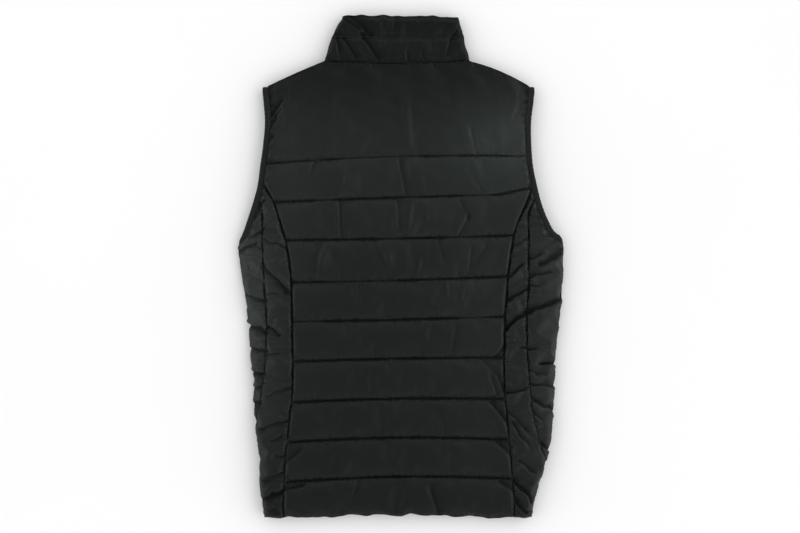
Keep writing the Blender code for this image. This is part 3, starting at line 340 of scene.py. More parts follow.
# Soft wrinkles of the quilted back and yoke, across (left is negative) and height at both ends.
# A positive depth is a trough, and a negative one a ridge.
BACK_WRINKLES = [
    Crease(-89.0, 609.0, -99.0, 540.0, -1.6, 7.0),
    Crease(5.0, 600.0, 10.0, 552.0, -2.0, 5.5),
    Crease(15.0, 596.0, 18.0, 545.0, 1.0, 6.0),
    Crease(92.0, 560.0, 103.0, 528.0, -2.2, 4.5),
    Crease(110.0, 556.0, 116.0, 528.0, -2.4, 4.0),
    Crease(142.0, 556.0, 147.0, 530.0, -2.0, 4.5),
    Crease(101.0, 562.0, 110.0, 526.0, 1.6, 4.0),
    Crease(-191.0, 578.0, -171.0, 604.0, 3.8, 2.6),
    Crease(-187.0, 574.0, -173.0, 592.0, 2.4, 2.2),
    Crease(-192.0, 560.0, -180.0, 577.0, 3.4, 2.4),
    Crease(-193.0, 541.0, -184.0, 551.0, 2.6, 2.4),
    Crease(-87.0, 508.0, -79.0, 490.0, -2.2, 4.0),
    Crease(-79.0, 490.0, -88.0, 468.0, -2.2, 4.0),
    Crease(-2.0, 516.0, 7.0, 470.0, 2.2, 4.0),
    Crease(13.0, 516.0, 16.0, 494.0, -2.0, 4.0),
    Crease(26.0, 494.0, 35.0, 470.0, -2.0, 4.5),
    Crease(107.0, 510.0, 114.0, 492.0, -2.2, 4.0),
    Crease(114.0, 492.0, 129.0, 470.0, -2.0, 4.0),
    Crease(-125.0, 517.0, -131.0, 500.0, 1.8, 4.0),
    Crease(-89.0, 458.0, -87.0, 412.0, 2.4, 3.5),
    Crease(-5.0, 458.0, -3.0, 421.0, 2.0, 4.0),
    Crease(20.0, 452.0, 15.0, 412.0, -2.2, 4.0),
    Crease(30.0, 456.0, 44.0, 436.0, -2.0, 4.0),
    Crease(44.0, 436.0, 30.0, 411.0, -1.8, 4.0),
    Crease(87.0, 456.0, 97.0, 436.0, 2.2, 4.0),
    Crease(97.0, 436.0, 85.0, 412.0, 2.2, 4.0),
    Crease(-104.0, 399.0, -114.0, 377.0, -2.2, 4.5),
    Crease(-114.0, 377.0, -119.0, 348.0, -1.8, 4.5),
    Crease(-29.0, 399.0, -19.0, 377.0, -1.8, 4.5),
    Crease(-19.0, 377.0, -10.0, 357.0, -1.6, 4.5),
    Crease(55.0, 402.0, 60.0, 377.0, 1.6, 4.5),
    Crease(31.0, 367.0, 26.0, 348.0, -2.2, 4.0),
    Crease(102.0, 387.0, 99.0, 357.0, 1.8, 4.5),
    Crease(124.0, 396.0, 110.0, 372.0, 1.8, 4.5),
    Crease(70.0, 338.0, 72.0, 322.0, -2.2, 3.5),
    Crease(97.0, 340.0, 92.0, 318.0, -2.2, 4.0),
    Crease(115.0, 342.0, 117.0, 330.0, -2.0, 3.5),
    Crease(57.0, 313.0, 59.0, 294.0, -1.8, 4.0),
    Crease(35.0, 283.0, 37.0, 244.0, -1.8, 5.0),
    Crease(80.0, 278.0, 75.0, 248.0, 1.6, 5.0),
    Crease(149.0, 249.0, 138.0, 235.0, 2.2, 4.0),
    Crease(140.0, 206.0, 149.0, 181.0, 2.6, 4.0),
    Crease(130.0, 204.0, 139.0, 180.0, 2.2, 4.0),
    Crease(120.0, 226.0, 134.0, 212.0, 1.8, 4.0),
    Crease(130.0, 167.0, 151.0, 141.0, 3.2, 4.5),
    Crease(140.0, 109.0, 162.0, 88.0, 2.8, 4.5),
    Crease(144.0, 51.0, 163.0, 39.0, 2.6, 4.0),
    Crease(-166.0, 80.0, -146.0, 97.0, 2.6, 4.5),
    Crease(-168.0, 40.5, -141.0, 47.0, 3.8, 2.8),
    Crease(43.0, 42.0, 53.0, 10.0, 2.4, 6.0),
    Crease(-62.0, 53.0, -67.0, 38.0, 1.8, 4.0),
    Crease(-120.0, 44.0, -90.0, 50.0, -1.6, 4.0),
]
# Folds of the collar: across and share of the way up at both ends.
COLLAR_CREASES = [
    Crease(-71.0, 0.93, -45.0, 0.58, 2.3, 5.5),
    Crease(-57.0, 0.56, -34.0, 0.10, 2.3, 4.5),
    Crease(-84.0, 0.92, -62.0, 0.70, 1.8, 3.5),
    Crease(-84.0, 0.50, -66.0, 0.12, 2.0, 3.5),
    Crease(-94.0, 0.62, -90.0, 0.22, 1.8, 3.5),
    Crease(-79.0, 0.42, -72.0, 0.24, 1.4, 3.0),
    Crease(85.0, 0.78, 71.0, 0.48, 1.4, 4.0),
    Crease(72.0, 0.47, 66.0, 0.16, 1.2, 3.5),
    Crease(-8.0, 0.98, -10.0, 0.75, 1.0, 5.0),
    Crease(30.0, 0.20, 34.0, 0.04, 0.8, 3.0),
    Crease(8.0, 0.22, 10.0, 0.03, 0.8, 3.0),
]


# ---------------------------------------------------------------- curves, on whole arrays
def lerp(start, end, share):
    """Start plus the share of the difference."""
    return start + (end - start) * share


def even(columns):
    """Even shares of a width."""
    return np.linspace(0.0, 1.0, columns + 1)


def ease(share):
    """Half of one minus the cosine of the share times pi: slow at both ends."""
    return 0.5 - 0.5 * np.cos(np.pi * np.asarray(share))


def step(start, end, value):
    """0 below start, 1 above end, and three u squared less two u cubed between."""
    u = np.clip((np.asarray(value) - start) / (end - start), 0.0, 1.0)
    return u * u * (3.0 - 2.0 * u)


def swell(distance, reach):
    """Height of a quarter round: the root of one less the square of what is left of the reach."""
    short = 1.0 - np.clip(np.asarray(distance) / reach, 0.0, 1.0)
    return np.sqrt(1.0 - short * short)


def through(knots, values, at):
    """Cubic in each span between knots, with the mean slope of the two spans beside each knot."""
    knots, values = np.asarray(knots, float), np.asarray(values, float)
    at = np.clip(at, knots[0], knots[-1])
    last = len(knots) - 1
    span = np.clip(np.searchsorted(knots, at, side="right") - 1, 0, last - 1)
    before, after = np.maximum(np.arange(last + 1) - 1, 0), np.minimum(np.arange(last + 1) + 1, last)
    slope = (values[after] - values[before]) / (knots[after] - knots[before])
    width = knots[span + 1] - knots[span]
    u = (at - knots[span]) / width
    return (
        values[span] * (2 * u**3 - 3 * u**2 + 1)
        + slope[span] * width * (u**3 - 2 * u**2 + u)
        + values[span + 1] * (3 * u**2 - 2 * u**3)
        + slope[span + 1] * width * (u**3 - u**2)
    )


def quadratic(knots, share):
    """Parabola through the left, centre and right values at shares 0, a half and 1."""
    return (
        knots.left * (1 - share) * (1 - 2 * share)
        + 4 * knots.centre * share * (1 - share)
        + knots.right * share * (2 * share - 1)
    )


def of_side(row, side):
    """The column of a row that belongs to a side."""
    return row.left if side == LEFT else row.right


def at_height(rows, side, height):
    """Smooth value of a table at a height."""
    return through([row.height for row in rows], [of_side(row, side) for row in rows], height)


def trough(across, height, crease):
    """Depth of a crease: a steep lip on one side of its line and a gentle one on the other, with a
    low ridge before the steep lip, fading to nothing at both ends."""
    line = (crease.to_way - crease.from_way, crease.to_height - crease.from_height)
    length = np.hypot(*line)
    off = (across - crease.from_way, height - crease.from_height)
    along = (off[0] * line[0] + off[1] * line[1]) / length
    aside = (off[0] * line[1] - off[1] * line[0]) / length
    past = np.maximum(np.maximum(-along, along - length), 0.0)
    steep, gentle = STEEP_LIP * crease.breadth, GENTLE_LIP * crease.breadth
    groove = np.exp(-((np.abs(aside) / np.where(aside > 0, steep, gentle)) ** 1.3))
    ridge = np.exp(-(((aside / steep - LIP_RIDGE_OFF) / LIP_RIDGE_BREADTH) ** 2))
    return crease.depth * (groove - LIP_RIDGE * ridge) * np.exp(-((past / crease.breadth) ** 2))


def smooth_noise(seed, across, height, size):
    """Sum of plane waves of random direction and phase, with wave lengths about the size, over the
    root of half their number."""
    draws = np.random.default_rng(seed)
    total = np.zeros(np.broadcast(across, height).shape)
    for _ in range(NOISE_WAVES):
        turn, phase = draws.uniform(0, 2 * np.pi, 2)
        wave = 2 * np.pi / (size * draws.uniform(0.6, 1.8))
        total += np.sin(wave * (across * np.cos(turn) + height * np.sin(turn)) + phase)
    return total / math.sqrt(NOISE_WAVES / 2)


def crinkles(seed, across, height, size, narrow):
    """Network of fine creases, 1 on their lines and 0 between them: one less the size of a smooth
    noise over a narrow share of it, to the power one and a half."""
    off = np.abs(smooth_noise(seed, across, height, size)) / narrow
    return np.clip(1.0 - off, 0.0, 1.0) ** 1.5


def deepest(creases, share, across, height):
    """Depth where creases cross: that of the one that is deepest there, times a share."""
    placed = np.zeros(np.broadcast(across, height).shape)
    for crease in creases:
        found = share * trough(across, height, crease)
        placed = np.where(np.abs(found) > np.abs(placed), found, placed)
    return placed


def unit(directions):
    """Directions of length one."""
    return directions / np.maximum(np.linalg.norm(directions, axis=-1, keepdims=True), 1e-9)


# ---------------------------------------------------------------- flattened tube
def middle_at(height):
    """Height of the mid-plane over the floor."""
    return lerp(BODY_MIDDLE, COLLAR_MIDDLE, step(*THINNING, height))


def fold_loft(height):
    """Thickness of the wall on the side fold: thin at the hem and underarm."""
    return lerp(SEAM_LOFT, SIDE_CROWN, swell(np.minimum(height, FOLD_TOP - height), SEAM_REACH))


def fold_at(side, height):
    """Distance from the centre line at which the lining turns."""
    return at_height(FOLD_OUTLINE, side, height) - LAYER_GAP - fold_loft(height)


def fold_way(height):
    """Way round the fold: half a turn at the wall's thickness, less what the thinning saves."""
    return 2.0 * (LAYER_GAP + fold_loft(height)) + FOLD_SLACK


def way_on_front(side, height, across):
    """Way round to a point of the front layer."""
    return 2.0 * fold_at(side, height) + fold_way(height) - across


def kept_in_outline(side, way, height, loft):
    """The loft, brought down on the side fold to the fold's own loft, so that the outline holds."""
    turning = np.sin(np.pi * np.clip((way - fold_at(side, height)) / fold_way(height), 0.0, 1.0))
    return lerp(loft, np.minimum(loft, fold_loft(height)), turning)


def spot(side, way, height, reach):
    """Points of the tube: flat back layer up to the fold, half a turn round it with the reach as
    radius, and the flat front layer after it."""
    way, height, reach = np.broadcast_arrays(way, height, reach)
    fold, length = fold_at(side, height), fold_way(height)
    turn = np.pi * np.clip((way - fold) / length, 0.0, 1.0)
    across = np.where(way <= fold, way, fold + reach * np.sin(turn))
    across = np.where(way >= fold + length, 2.0 * fold + length - way, across)
    up = middle_at(height) + reach * np.cos(turn)
    return np.stack([side * across, height - LENGTH / 2, np.maximum(up, 0.0)], axis=-1)


def sag(side, points):
    """The points, lower near a side fold: their height over the floor loses a share that grows
    with the square of how near they are to the fold's outline."""
    across, height = side * points[..., 0], points[..., 1] + LENGTH / 2
    inside = at_height(FOLD_OUTLINE, side, height) - across
    near = np.clip(1.0 - inside / EDGE_SAG_REACH, 0.0, 1.0)
    lower = points.copy()
    lower[..., 2] *= 1.0 - at_height(EDGE_SAG, side, height) * near**2
    return lower


# ---------------------------------------------------------------- seams and edges
def line_height(line, share):
    """Height of a quilting line: a parabola, with its right end turned up."""
    quilt = QUILT_LINES[line]
    return quadratic(quilt, share) + quilt.upturn * step(UPTURN_FROM, 1.0, share)


def princess_top(side):
    """Height at which a princess seam meets the armhole."""
    if side == LEFT:
        return lerp(line_height(LAST_LINE - 1, 0.0), line_height(LAST_LINE, 0.0), 0.5)
    return line_height(LAST_LINE - 1, 1.0)


def with_top(rows, top):
    """The rows with one more at the top, on the armhole edge."""
    return rows + [Row(top, at_height(BACK_ARMHOLE, LEFT, top), at_height(BACK_ARMHOLE, RIGHT, top))]


def princess_at(side, height):
    """Distance from the centre line to the princess seam."""
    return at_height(with_top(PRINCESS, princess_top(side)), side, height)


def underarm_at(side, height):
    """Way round to the underarm seam."""
    return at_height(with_top(UNDERARM, UNDERARM_TOP), side, height)


def side_seam_at(side, height):
    """Way round to the side seam: on the front layer at the hem, on the fold at the underarm."""
    on_fold = fold_at(side, height) + 0.5 * fold_way(height)
    return lerp(underarm_at(side, height) + SIDE_WIDTH, on_fold, step(*SIDE_SEAM_TURN, height))


def centre_edge(side, height):
    """Half width of the centre back: princess seam below, armhole above."""
    seam = princess_at(side, height) - SEAM_GAP / 2
    return np.where(height <= princess_top(side), seam, at_height(BACK_ARMHOLE, side, height))


class Armhole:
    """Armhole edge of the panels: down the back, round the fold, up the front."""

    def __init__(self, side):
        points = [(of_side(row, side), row.height) for row in reversed(BACK_ARMHOLE)]
        for index, height in enumerate(UNDERARM_TURN):
            points.append((fold_at(side, height) + index * fold_way(height) / 2, height))
        for row in FRONT_ARMHOLE:
            points.append((way_on_front(side, row.height, of_side(row, side)), row.height))
        self.points = np.array(points, float)
        runs = np.hypot(*np.diff(self.points, axis=0).T)
        self.knots = np.concatenate([[0.0], np.cumsum(runs)])
        shares = even(ARMHOLE_STEPS)
        way, height = self.at(shares).T
        self.princess = shares[np.argmax(height < princess_top(side))]
        self.underarm = shares[np.argmax(height < UNDERARM_TOP)]
        self.side_seam = shares[np.argmax(way > side_seam_at(side, height))]

    def at(self, share):
        """Ways and heights at shares of the length."""
        length = np.asarray(share) * self.knots[-1]
        return np.stack([through(self.knots, self.points[:, i], length) for i in (0, 1)], axis=-1)

    def outward(self, share):
        """Unit directions across the edge: its direction of travel, a quarter turn to the left."""
        nudge = 0.004
        along = self.at(np.minimum(share + nudge, 1.0)) - self.at(np.maximum(share - nudge, 0.0))
        along /= np.linalg.norm(along, axis=-1, keepdims=True)
        return np.stack([-along[..., 1], along[..., 0]], axis=-1)


ARMHOLES = {side: Armhole(side) for side in (LEFT, RIGHT)}


def seam_line(seam, side, top, rows, shift):
    """Points of a seam at even heights, moved along the way round."""
    height = np.linspace(0.0, top, rows + 1)
    return np.stack([seam(side, height) + shift, height], axis=-1)


def crowded(columns):
    """Shares of a width that crowd at both ends: even ones, partly eased."""
    return lerp(even(columns), ease(even(columns)), CROWDING)


def patch(bottom, top, left, right, shares=even):
    """Grid of (way, height) between four edges: rulings from left to right, plus the bend of the
    bottom and top edges times a high power of how near they are."""
    u = shares(len(bottom) - 1)[None, :, None]
    v = np.linspace(0.0, 1.0, len(left))[:, None, None]
    low = bottom[None] - lerp(bottom[0], bottom[-1], u)
    high = top[None] - lerp(top[0], top[-1], u)
    ruled = lerp(left[:, None], right[:, None], u)
    return ruled + (1.0 - v) ** EDGE_HOLD * low + v**EDGE_HOLD * high


def distance_to(grid, points):
    """Distance from each grid point to the nearest of the points of an edge."""
    flat = grid.reshape(-1, 2)
    nearest = np.full(len(flat), np.inf)
    for start, end in zip(points[:-1], points[1:]):
        line = end - start
        share = np.clip((flat - start) @ line / max(line @ line, 1e-9), 0.0, 1.0)
        nearest = np.minimum(nearest, np.hypot(*(flat - start - share[:, None] * line).T))
    return nearest.reshape(grid.shape[:-1])


# ---------------------------------------------------------------- meshes
def quads(index):
    """Quads between neighbouring points of a grid of point numbers."""
    corners = [index[:-1, :-1], index[:-1, 1:], index[1:, 1:], index[1:, :-1]]
    return np.stack(corners, axis=-1).reshape(-1, 4)


def grid_faces(rows, columns):
    """Quads of a grid of points numbered row by row."""
    return quads(np.arange(rows * columns).reshape(rows, columns))


def facing_out(points, faces):
    """The faces, turned round if the body's signed volume is negative."""
    corners = points[faces]
    volume = 0.0
    for i in range(1, faces.shape[1] - 1):
        volume += np.einsum("ij,ij->", corners[:, 0], np.cross(corners[:, i], corners[:, i + 1]))
    return faces if volume > 0 else faces[:, ::-1]


def make_object(name, points, kinds, finish, uv=None, creases=None):
    """Object at the origin with its place in its mesh, riding on the vest. Its faces come in kinds
    with the same number of corners."""
    mesh = bpy.data.meshes.new(name)
    mesh.from_pydata((points * MM).tolist(), [], [face for faces in kinds for face in faces.tolist()])
    if uv is not None:
        layer = mesh.uv_layers.new(name="cloth")
        corners = np.concatenate([faces.reshape(-1) for faces in kinds])
        layer.data.foreach_set("uv", (uv[corners] * MM).astype(np.float32).ravel())
    # the crease attribute holds painted shade of creases, seams and armhole tape, for the cloth's colour
    if creases is not None:
        shade_paint = mesh.attributes.new("crease", "FLOAT", "POINT")
        shade_paint.data.foreach_set("value", creases.astype(np.float32))
    mesh.materials.append(finish)
    mesh.shade_smooth()
    mesh.set_sharp_from_angle(angle=math.radians(SHARP_ANGLE))
    made = bpy.data.objects.new(name, mesh)
    bpy.context.scene.collection.objects.link(made)
    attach(made, "vest")
    return made


def finer(grid):
    """The grid with a point between each two neighbours both ways: nine sixteenths of each near
    one less a sixteenth of each far one."""
    for axis in (0, 1):
        grid = np.moveaxis(grid, axis, 0)
        padded = np.concatenate([2 * grid[:1] - grid[1:2], grid, 2 * grid[-1:] - grid[-2:-1]])
        twice = np.empty((2 * len(grid) - 1,) + grid.shape[1:])
        twice[::2] = grid
        twice[1::2] = (9 * (padded[1:-2] + padded[2:-1]) - padded[:-3] - padded[3:]) / 16
        grid = np.moveaxis(twice, 0, axis)
    return grid


def border(rows, columns):
    """Numbers of the border points of a grid, once round."""
    index = np.arange(rows * columns).reshape(rows, columns)
    return np.concatenate([index[0, :-1], index[:-1, -1], index[-1, :0:-1], index[:0:-1, 0]])


def wall(name, outer, inner, flat, finish, creases):
    """Closed wall: an outer grid twice as fine as the lining grid behind it, and a rim of five
    cornered faces between their borders. The cloth's own way and height are its UV map."""
    count = outer.shape[0] * outer.shape[1]
    skin = grid_faces(*outer.shape[:2])
    lining = grid_faces(*inner.shape[:2])[:, ::-1] + count
    round_outer, round_inner = border(*outer.shape[:2]), border(*inner.shape[:2]) + count
    here, between, after = round_outer[::2], round_outer[1::2], np.roll(round_outer[::2], -1)
    rim = np.stack([after, between, here, round_inner, np.roll(round_inner, -1)], axis=-1)
    points = np.concatenate([outer.reshape(-1, 3), inner.reshape(-1, 3)])
    uv = np.concatenate([finer(flat).reshape(-1, 2), flat.reshape(-1, 2)])
    kinds = [skin, lining, rim]
    both = np.concatenate([skin, lining])
    if (facing_out(points, both) != both).any():
        kinds = [faces[:, ::-1] for faces in kinds]
    # painted shade on the outer skin, none on the lining
    painted_shade = np.zeros(len(points))
    painted_shade[:count] = creases.ravel()
    return make_object(name, points, kinds, finish, uv, painted_shade)


# ---------------------------------------------------------------- sections carried along a line
def carried_faces(count, sides, closed):
    """Quads round and along a carried section; a closed line ends where it began."""
    ring = np.arange(count + closed) % count
    return quads(ring[:, None] * sides + np.arange(sides + 1) % sides)


def cap(ring):
    """Quads that close a ring of an even number of points, from one half of it to the other."""
    half, back = len(ring) // 2, ring[::-1]
    return np.stack([ring[: half - 1], ring[1:half], back[1:half], back[: half - 1]], axis=-1)


def carried_uv(sections, steps):
    """UV of a carried section: the way round it, and the way along the line of its middles."""
    count, sides = sections.shape[:2]
    girth = np.linalg.norm(sections - np.roll(sections, 1, axis=1), axis=2).mean(axis=0)
    along = np.concatenate([[0.0], np.cumsum(steps)])[:count]
    return np.stack([np.tile(np.cumsum(girth), count), np.repeat(along, sides)], axis=-1)


# ---------------------------------------------------------------- puffing up
Sheet = namedtuple("Sheet", "points hold slack")


def hung_sheet(sheet, push, stiffness, bending):
    """Object of one outer sheet as Blender's cloth: cut a little larger than its place, pushed out
    from inside, and held at its stitches."""
    mesh = bpy.data.meshes.new("sheet")
    faces = grid_faces(*sheet.points.shape[:2])
    mesh.from_pydata((sheet.points.reshape(-1, 3) * MM).tolist(), [], faces.tolist())
    holder = bpy.data.objects.new("sheet", mesh)
    bpy.context.scene.collection.objects.link(holder)
    stitches = holder.vertex_groups.new(name="stitches")
    hold = np.round(np.clip(sheet.hold, 0.0, 1.0), 2).ravel()
    for weight in np.unique(hold[hold > 0]):
        stitches.add(np.nonzero(hold == weight)[0].tolist(), float(weight), "REPLACE")
    cloth = holder.modifiers.new("puff", "CLOTH")
    cloth.collision_settings.use_collision = False
    settings = cloth.settings
    settings.quality = 6
    settings.mass = 0.3
    settings.tension_stiffness = settings.compression_stiffness = stiffness
    settings.shear_stiffness = stiffness * 0.3
    settings.bending_stiffness = bending
    settings.air_damping = 5
    settings.tension_damping = settings.compression_damping = settings.shear_damping = 15
    settings.use_pressure = True
    settings.use_pressure_volume = True
    settings.target_volume = 0
    settings.uniform_pressure_force = push
    settings.shrink_min = -sheet.slack
    settings.effector_weights.gravity = 0
    settings.vertex_group_mass = "stitches"
    settings.pin_stiffness = 1
    return holder, cloth


def puff(sheets, frames, push, stiffness, bending, most):
    """Lets the outer sheets of padded cloth swell and pucker between their stitches. No point
    moves more than the given distance. Returns the new points."""
    holders = []
    for sheet in sheets:
        holder, cloth = hung_sheet(sheet, push, stiffness, bending)
        cloth.point_cache.frame_end = frames
        holders.append(holder)
    for at_frame in range(1, frames + 1):
        bpy.context.scene.frame_set(at_frame)
    found = []
    for holder, sheet in zip(holders, sheets):
        evaluated = holder.evaluated_get(bpy.context.evaluated_depsgraph_get())
        flat = np.empty(sheet.points.size, np.float32)
        evaluated.data.vertices.foreach_get("co", flat)
        moved = flat.reshape(sheet.points.shape).astype(float) / MM - sheet.points
        size = np.linalg.norm(moved, axis=-1, keepdims=True)
        found.append(sheet.points + moved * most * np.tanh(size / most) / np.maximum(size, 1e-9))
        mesh = holder.data
        bpy.data.objects.remove(holder)
        bpy.data.meshes.remove(mesh)
    bpy.context.scene.frame_set(1)
    return found


# ---------------------------------------------------------------- materials
def group(name, inputs, outputs):
    """Empty shader node group with named sockets; a name ending in Normal is a vector."""
    tree = bpy.data.node_groups.new(name, "ShaderNodeTree")
    for word, default in inputs.items():
        kind = "NodeSocketFloat" if default is not None else "NodeSocketVector"
        socket = tree.interface.new_socket(name=word, in_out="INPUT", socket_type=kind)
        if default is not None:
            socket.default_value = default
    for word in outputs:
        tree.interface.new_socket(name=word, in_out="OUTPUT", socket_type="NodeSocketFloat")
    return tree, tree.nodes.new("NodeGroupInput"), tree.nodes.new("NodeGroupOutput")


def feed(tree, value, socket):
    """Link the value to a socket if it is one, or else set it."""
    if isinstance(value, bpy.types.NodeSocket):
        tree.links.new(value, socket)
    else:
        socket.default_value = value


def math_node(tree, operation, first, second=0.0, third=0.0):
    """Math node fed by sockets or numbers; returns its output."""
    node = tree.nodes.new("ShaderNodeMath")
    node.operation = operation
    for value, socket in zip((first, second, third), node.inputs):
        feed(tree, value, socket)
    return node.outputs[0]


def times(tree, first, second):
    """Product of two sockets or numbers."""
    return math_node(tree, "MULTIPLY", first, second)


def add_times(tree, first, second, third):
    """Product of the first two, plus the third."""
    return math_node(tree, "MULTIPLY_ADD", first, second, third)


def parts_of(tree, vector):
    """The three parts of a vector."""
    split = tree.nodes.new("ShaderNodeSeparateXYZ")
    tree.links.new(vector, split.inputs[0])
    return split.outputs


def divided(tree, vector, size):
    """The vector divided by a size in metres: a socket or three numbers."""
    node = tree.nodes.new("ShaderNodeVectorMath")
    node.operation = "DIVIDE"
    tree.links.new(vector, node.inputs[0])
    feed(tree, size, node.inputs[1])
    return node.outputs[0]


def noise(tree, vector, detail=2.0, roughness=0.5, distortion=0.0):
    """Noise from 0 to 1 whose features are about one unit of the vector wide."""
    node = tree.nodes.new("ShaderNodeTexNoise")
    settings = {"Scale": 1.0, "Detail": detail, "Roughness": roughness, "Distortion": distortion}
    for word, value in settings.items():
        node.inputs[word].default_value = value
    tree.links.new(vector, node.inputs["Vector"])
    return node.outputs["Fac"]


def noise_of(tree, place, size, detail):
    """Noise of a size in metres."""
    return noise(tree, divided(tree, place, (size, size, size)), detail)


def make_weave_group():
    """Plain weave: warp and weft threads as two sine ridges, each on top in turn."""
    tree, given, result = group("plain_weave", {"Cloth": None, "Thread": 0.0003}, ["Height"])
    across, along, _ = parts_of(tree, divided(tree, given.outputs["Cloth"], given.outputs["Thread"]))
    warp = math_node(tree, "SINE", times(tree, across, math.pi))
    weft = math_node(tree, "SINE", times(tree, along, math.pi))
    height = add_times(tree, times(tree, warp, weft), 0.5, 0.5)
    tree.links.new(height, result.inputs["Height"])
    return tree


def make_crumple_group():
    """Soft crumple of thin cloth: fine ripples broken up by a larger noise."""
    tree, given, result = group("crumple", {"Place": None, "Size": 0.012}, ["Height", "Patches"])
    place = given.outputs["Place"]
    fine = noise(tree, divided(tree, place, given.outputs["Size"]), 3.0, 0.45, 0.6)
    patches = noise_of(tree, place, 0.055, 1.0)
    tree.links.new(times(tree, fine, patches), result.inputs["Height"])
    tree.links.new(patches, result.inputs["Patches"])
    return tree


WEAVE = make_weave_group()
CRUMPLE = make_crumple_group()


def use_group(tree, which, **values):
    """Place a group in a material; each value is a socket or a number."""
    node = tree.nodes.new("ShaderNodeGroup")
    node.node_tree = which
    for word, value in values.items():
        feed(tree, value, node.inputs[word])
    return node.outputs


def colour_range(tree, fac, low, high):
    """Colour that goes from low to high with a value."""
    node = tree.nodes.new("ShaderNodeMix")
    node.data_type = "RGBA"
    node.clamp_factor = True
    tree.links.new(fac, node.inputs["Factor"])
    node.inputs[6].default_value = (*low, 1.0)
    node.inputs[7].default_value = (*high, 1.0)
    return node.outputs[2]


def value_range(tree, fac, low, high):
    """Number that goes from low to high as a value goes from 0 to 1."""
    return add_times(tree, fac, high - low, low)


def bump(tree, height, distance, below=None):
    """Bump node of a height in metres, over another normal if one is given."""
    node = tree.nodes.new("ShaderNodeBump")
    node.inputs["Strength"].default_value = 1.0
    node.inputs["Distance"].default_value = distance
    tree.links.new(height, node.inputs["Height"])
    if below is not None:
        tree.links.new(below, node.inputs["Normal"])
    return node.outputs["Normal"]


def new_finish(name, **settings):
    """Material with a Principled shader and its plain settings."""
    made = bpy.data.materials.new(name)
    made.use_nodes = True
    tree = made.node_tree
    shader = tree.nodes["Principled BSDF"]
    for word, value in settings.items():
        shader.inputs[word.replace("_", " ")].default_value = value
    return made, tree, shader


def place_of(tree, kind):
    """Texture coordinates of a kind: Object or UV."""
    return tree.nodes.new("ShaderNodeTexCoord").outputs[kind]


def mottle(tree, shader, fac, colours, roughness):
    """Colour and roughness that both go from low to high with a value."""
    tree.links.new(colour_range(tree, fac, *colours), shader.inputs["Base Color"])
    tree.links.new(value_range(tree, fac, *roughness), shader.inputs["Roughness"])


def painted_highlight(tree, place, patch_at):
    """Painted highlight: a value that is the patch's amount at its middle and fades as a bell over its two
    radii.
    """
    total = 0.0
    for middle, radius, across in zip(patch_at[:2], patch_at[2:4], place):
        off = add_times(tree, across, 1.0 / radius, -middle / radius)
        total = add_times(tree, off, times(tree, off, -1.0), total)
    return times(tree, math_node(tree, "EXPONENT", total), patch_at[4])


def painted_shading_by_height(tree, up):
    """Painted light and shade at a share of the height: the table's value, as a smooth curve near its
    points.
    """
    ramp = tree.nodes.new("ShaderNodeValToRGB")
    ramp.color_ramp.interpolation = "B_SPLINE"
    tones = ramp.color_ramp.elements
    while len(tones) < len(PAINTED_SHADING_BY_HEIGHT):
        tones.new(0.5)
    for tone, (height, value) in zip(tones, PAINTED_SHADING_BY_HEIGHT):
        tone.position = height
        tone.color = (value, value, value, 1.0)
    tree.links.new(up, ramp.inputs["Fac"])
    return ramp.outputs["Color"]


def make_shell_fabric():
    """Near-black woven nylon with a satin face, softly crumpled over the padding. Its tone is painted
    light and shade that goes with the height on the vest, with painted highlights in patches, and painted
    shade that makes it deeper in its creases, where it is also rougher."""
    made, tree, shader = new_finish("shell_fabric", Specular_IOR_Level=0.15, Sheen_Weight=0.01,
                                    Sheen_Roughness=0.4)
    cloth, place = place_of(tree, "UV"), place_of(tree, "Object")
    weave = use_group(tree, WEAVE, Cloth=cloth, Thread=0.00035)
    crumple = use_group(tree, CRUMPLE, Place=place, Size=0.011)
    across_up = parts_of(tree, place)
    # painted light and shade by height: darkest at the neck and the collar's top, palest on the yoke
    tone = painted_shading_by_height(tree, add_times(tree, across_up[1], 1.0 / (LENGTH * MM), 0.5))
    # painted highlights in patches, where the yoke and the side folds catch the light
    for patch_at in PAINTED_HIGHLIGHTS:
        tone = math_node(tree, "ADD", tone, painted_highlight(tree, across_up, patch_at))
    # painted shade: the crease attribute darkens the colour in creases, beside stitches and by the armhole
    # tape, and makes it rougher
    crease = tree.nodes.new("ShaderNodeAttribute")
    crease.attribute_name = "crease"
    creased = crease.outputs["Fac"]
    tone = add_times(tree, creased, -CREASE_PAINTED_SHADE, tone)
    tone = math_node(tree, "ADD", tone, value_range(tree, crumple["Patches"], -0.05, 0.05))
    tree.links.new(colour_range(tree, tone, DEEP_TONE, PALE_TONE), shader.inputs["Base Color"])
    rough = value_range(tree, noise_of(tree, place, 0.03, 3.0), 0.30, 0.42)
    tree.links.new(add_times(tree, creased, CREASE_ROUGH, rough), shader.inputs["Roughness"])
    under = bump(tree, crumple["Height"], 0.0006)
    tree.links.new(bump(tree, weave["Height"], 0.00002, under), shader.inputs["Normal"])
    return made


def make_tape(name, low, high, thread, rough):
    """Matt ribbed tape: threads across it, with a little fluff."""
    made, tree, shader = new_finish(name, Specular_IOR_Level=0.12, Sheen_Weight=0.03,
                                    Sheen_Roughness=0.5)
    weave = use_group(tree, WEAVE, Cloth=place_of(tree, "UV"), Thread=thread)
    fluff = noise_of(tree, place_of(tree, "Object"), 0.004, 3.0)
    mottle(tree, shader, fluff, (low, high), (rough - 0.06, rough + 0.06))
    under = bump(tree, fluff, 0.0002)
    tree.links.new(bump(tree, weave["Height"], 0.00008, under), shader.inputs["Normal"])
    return made


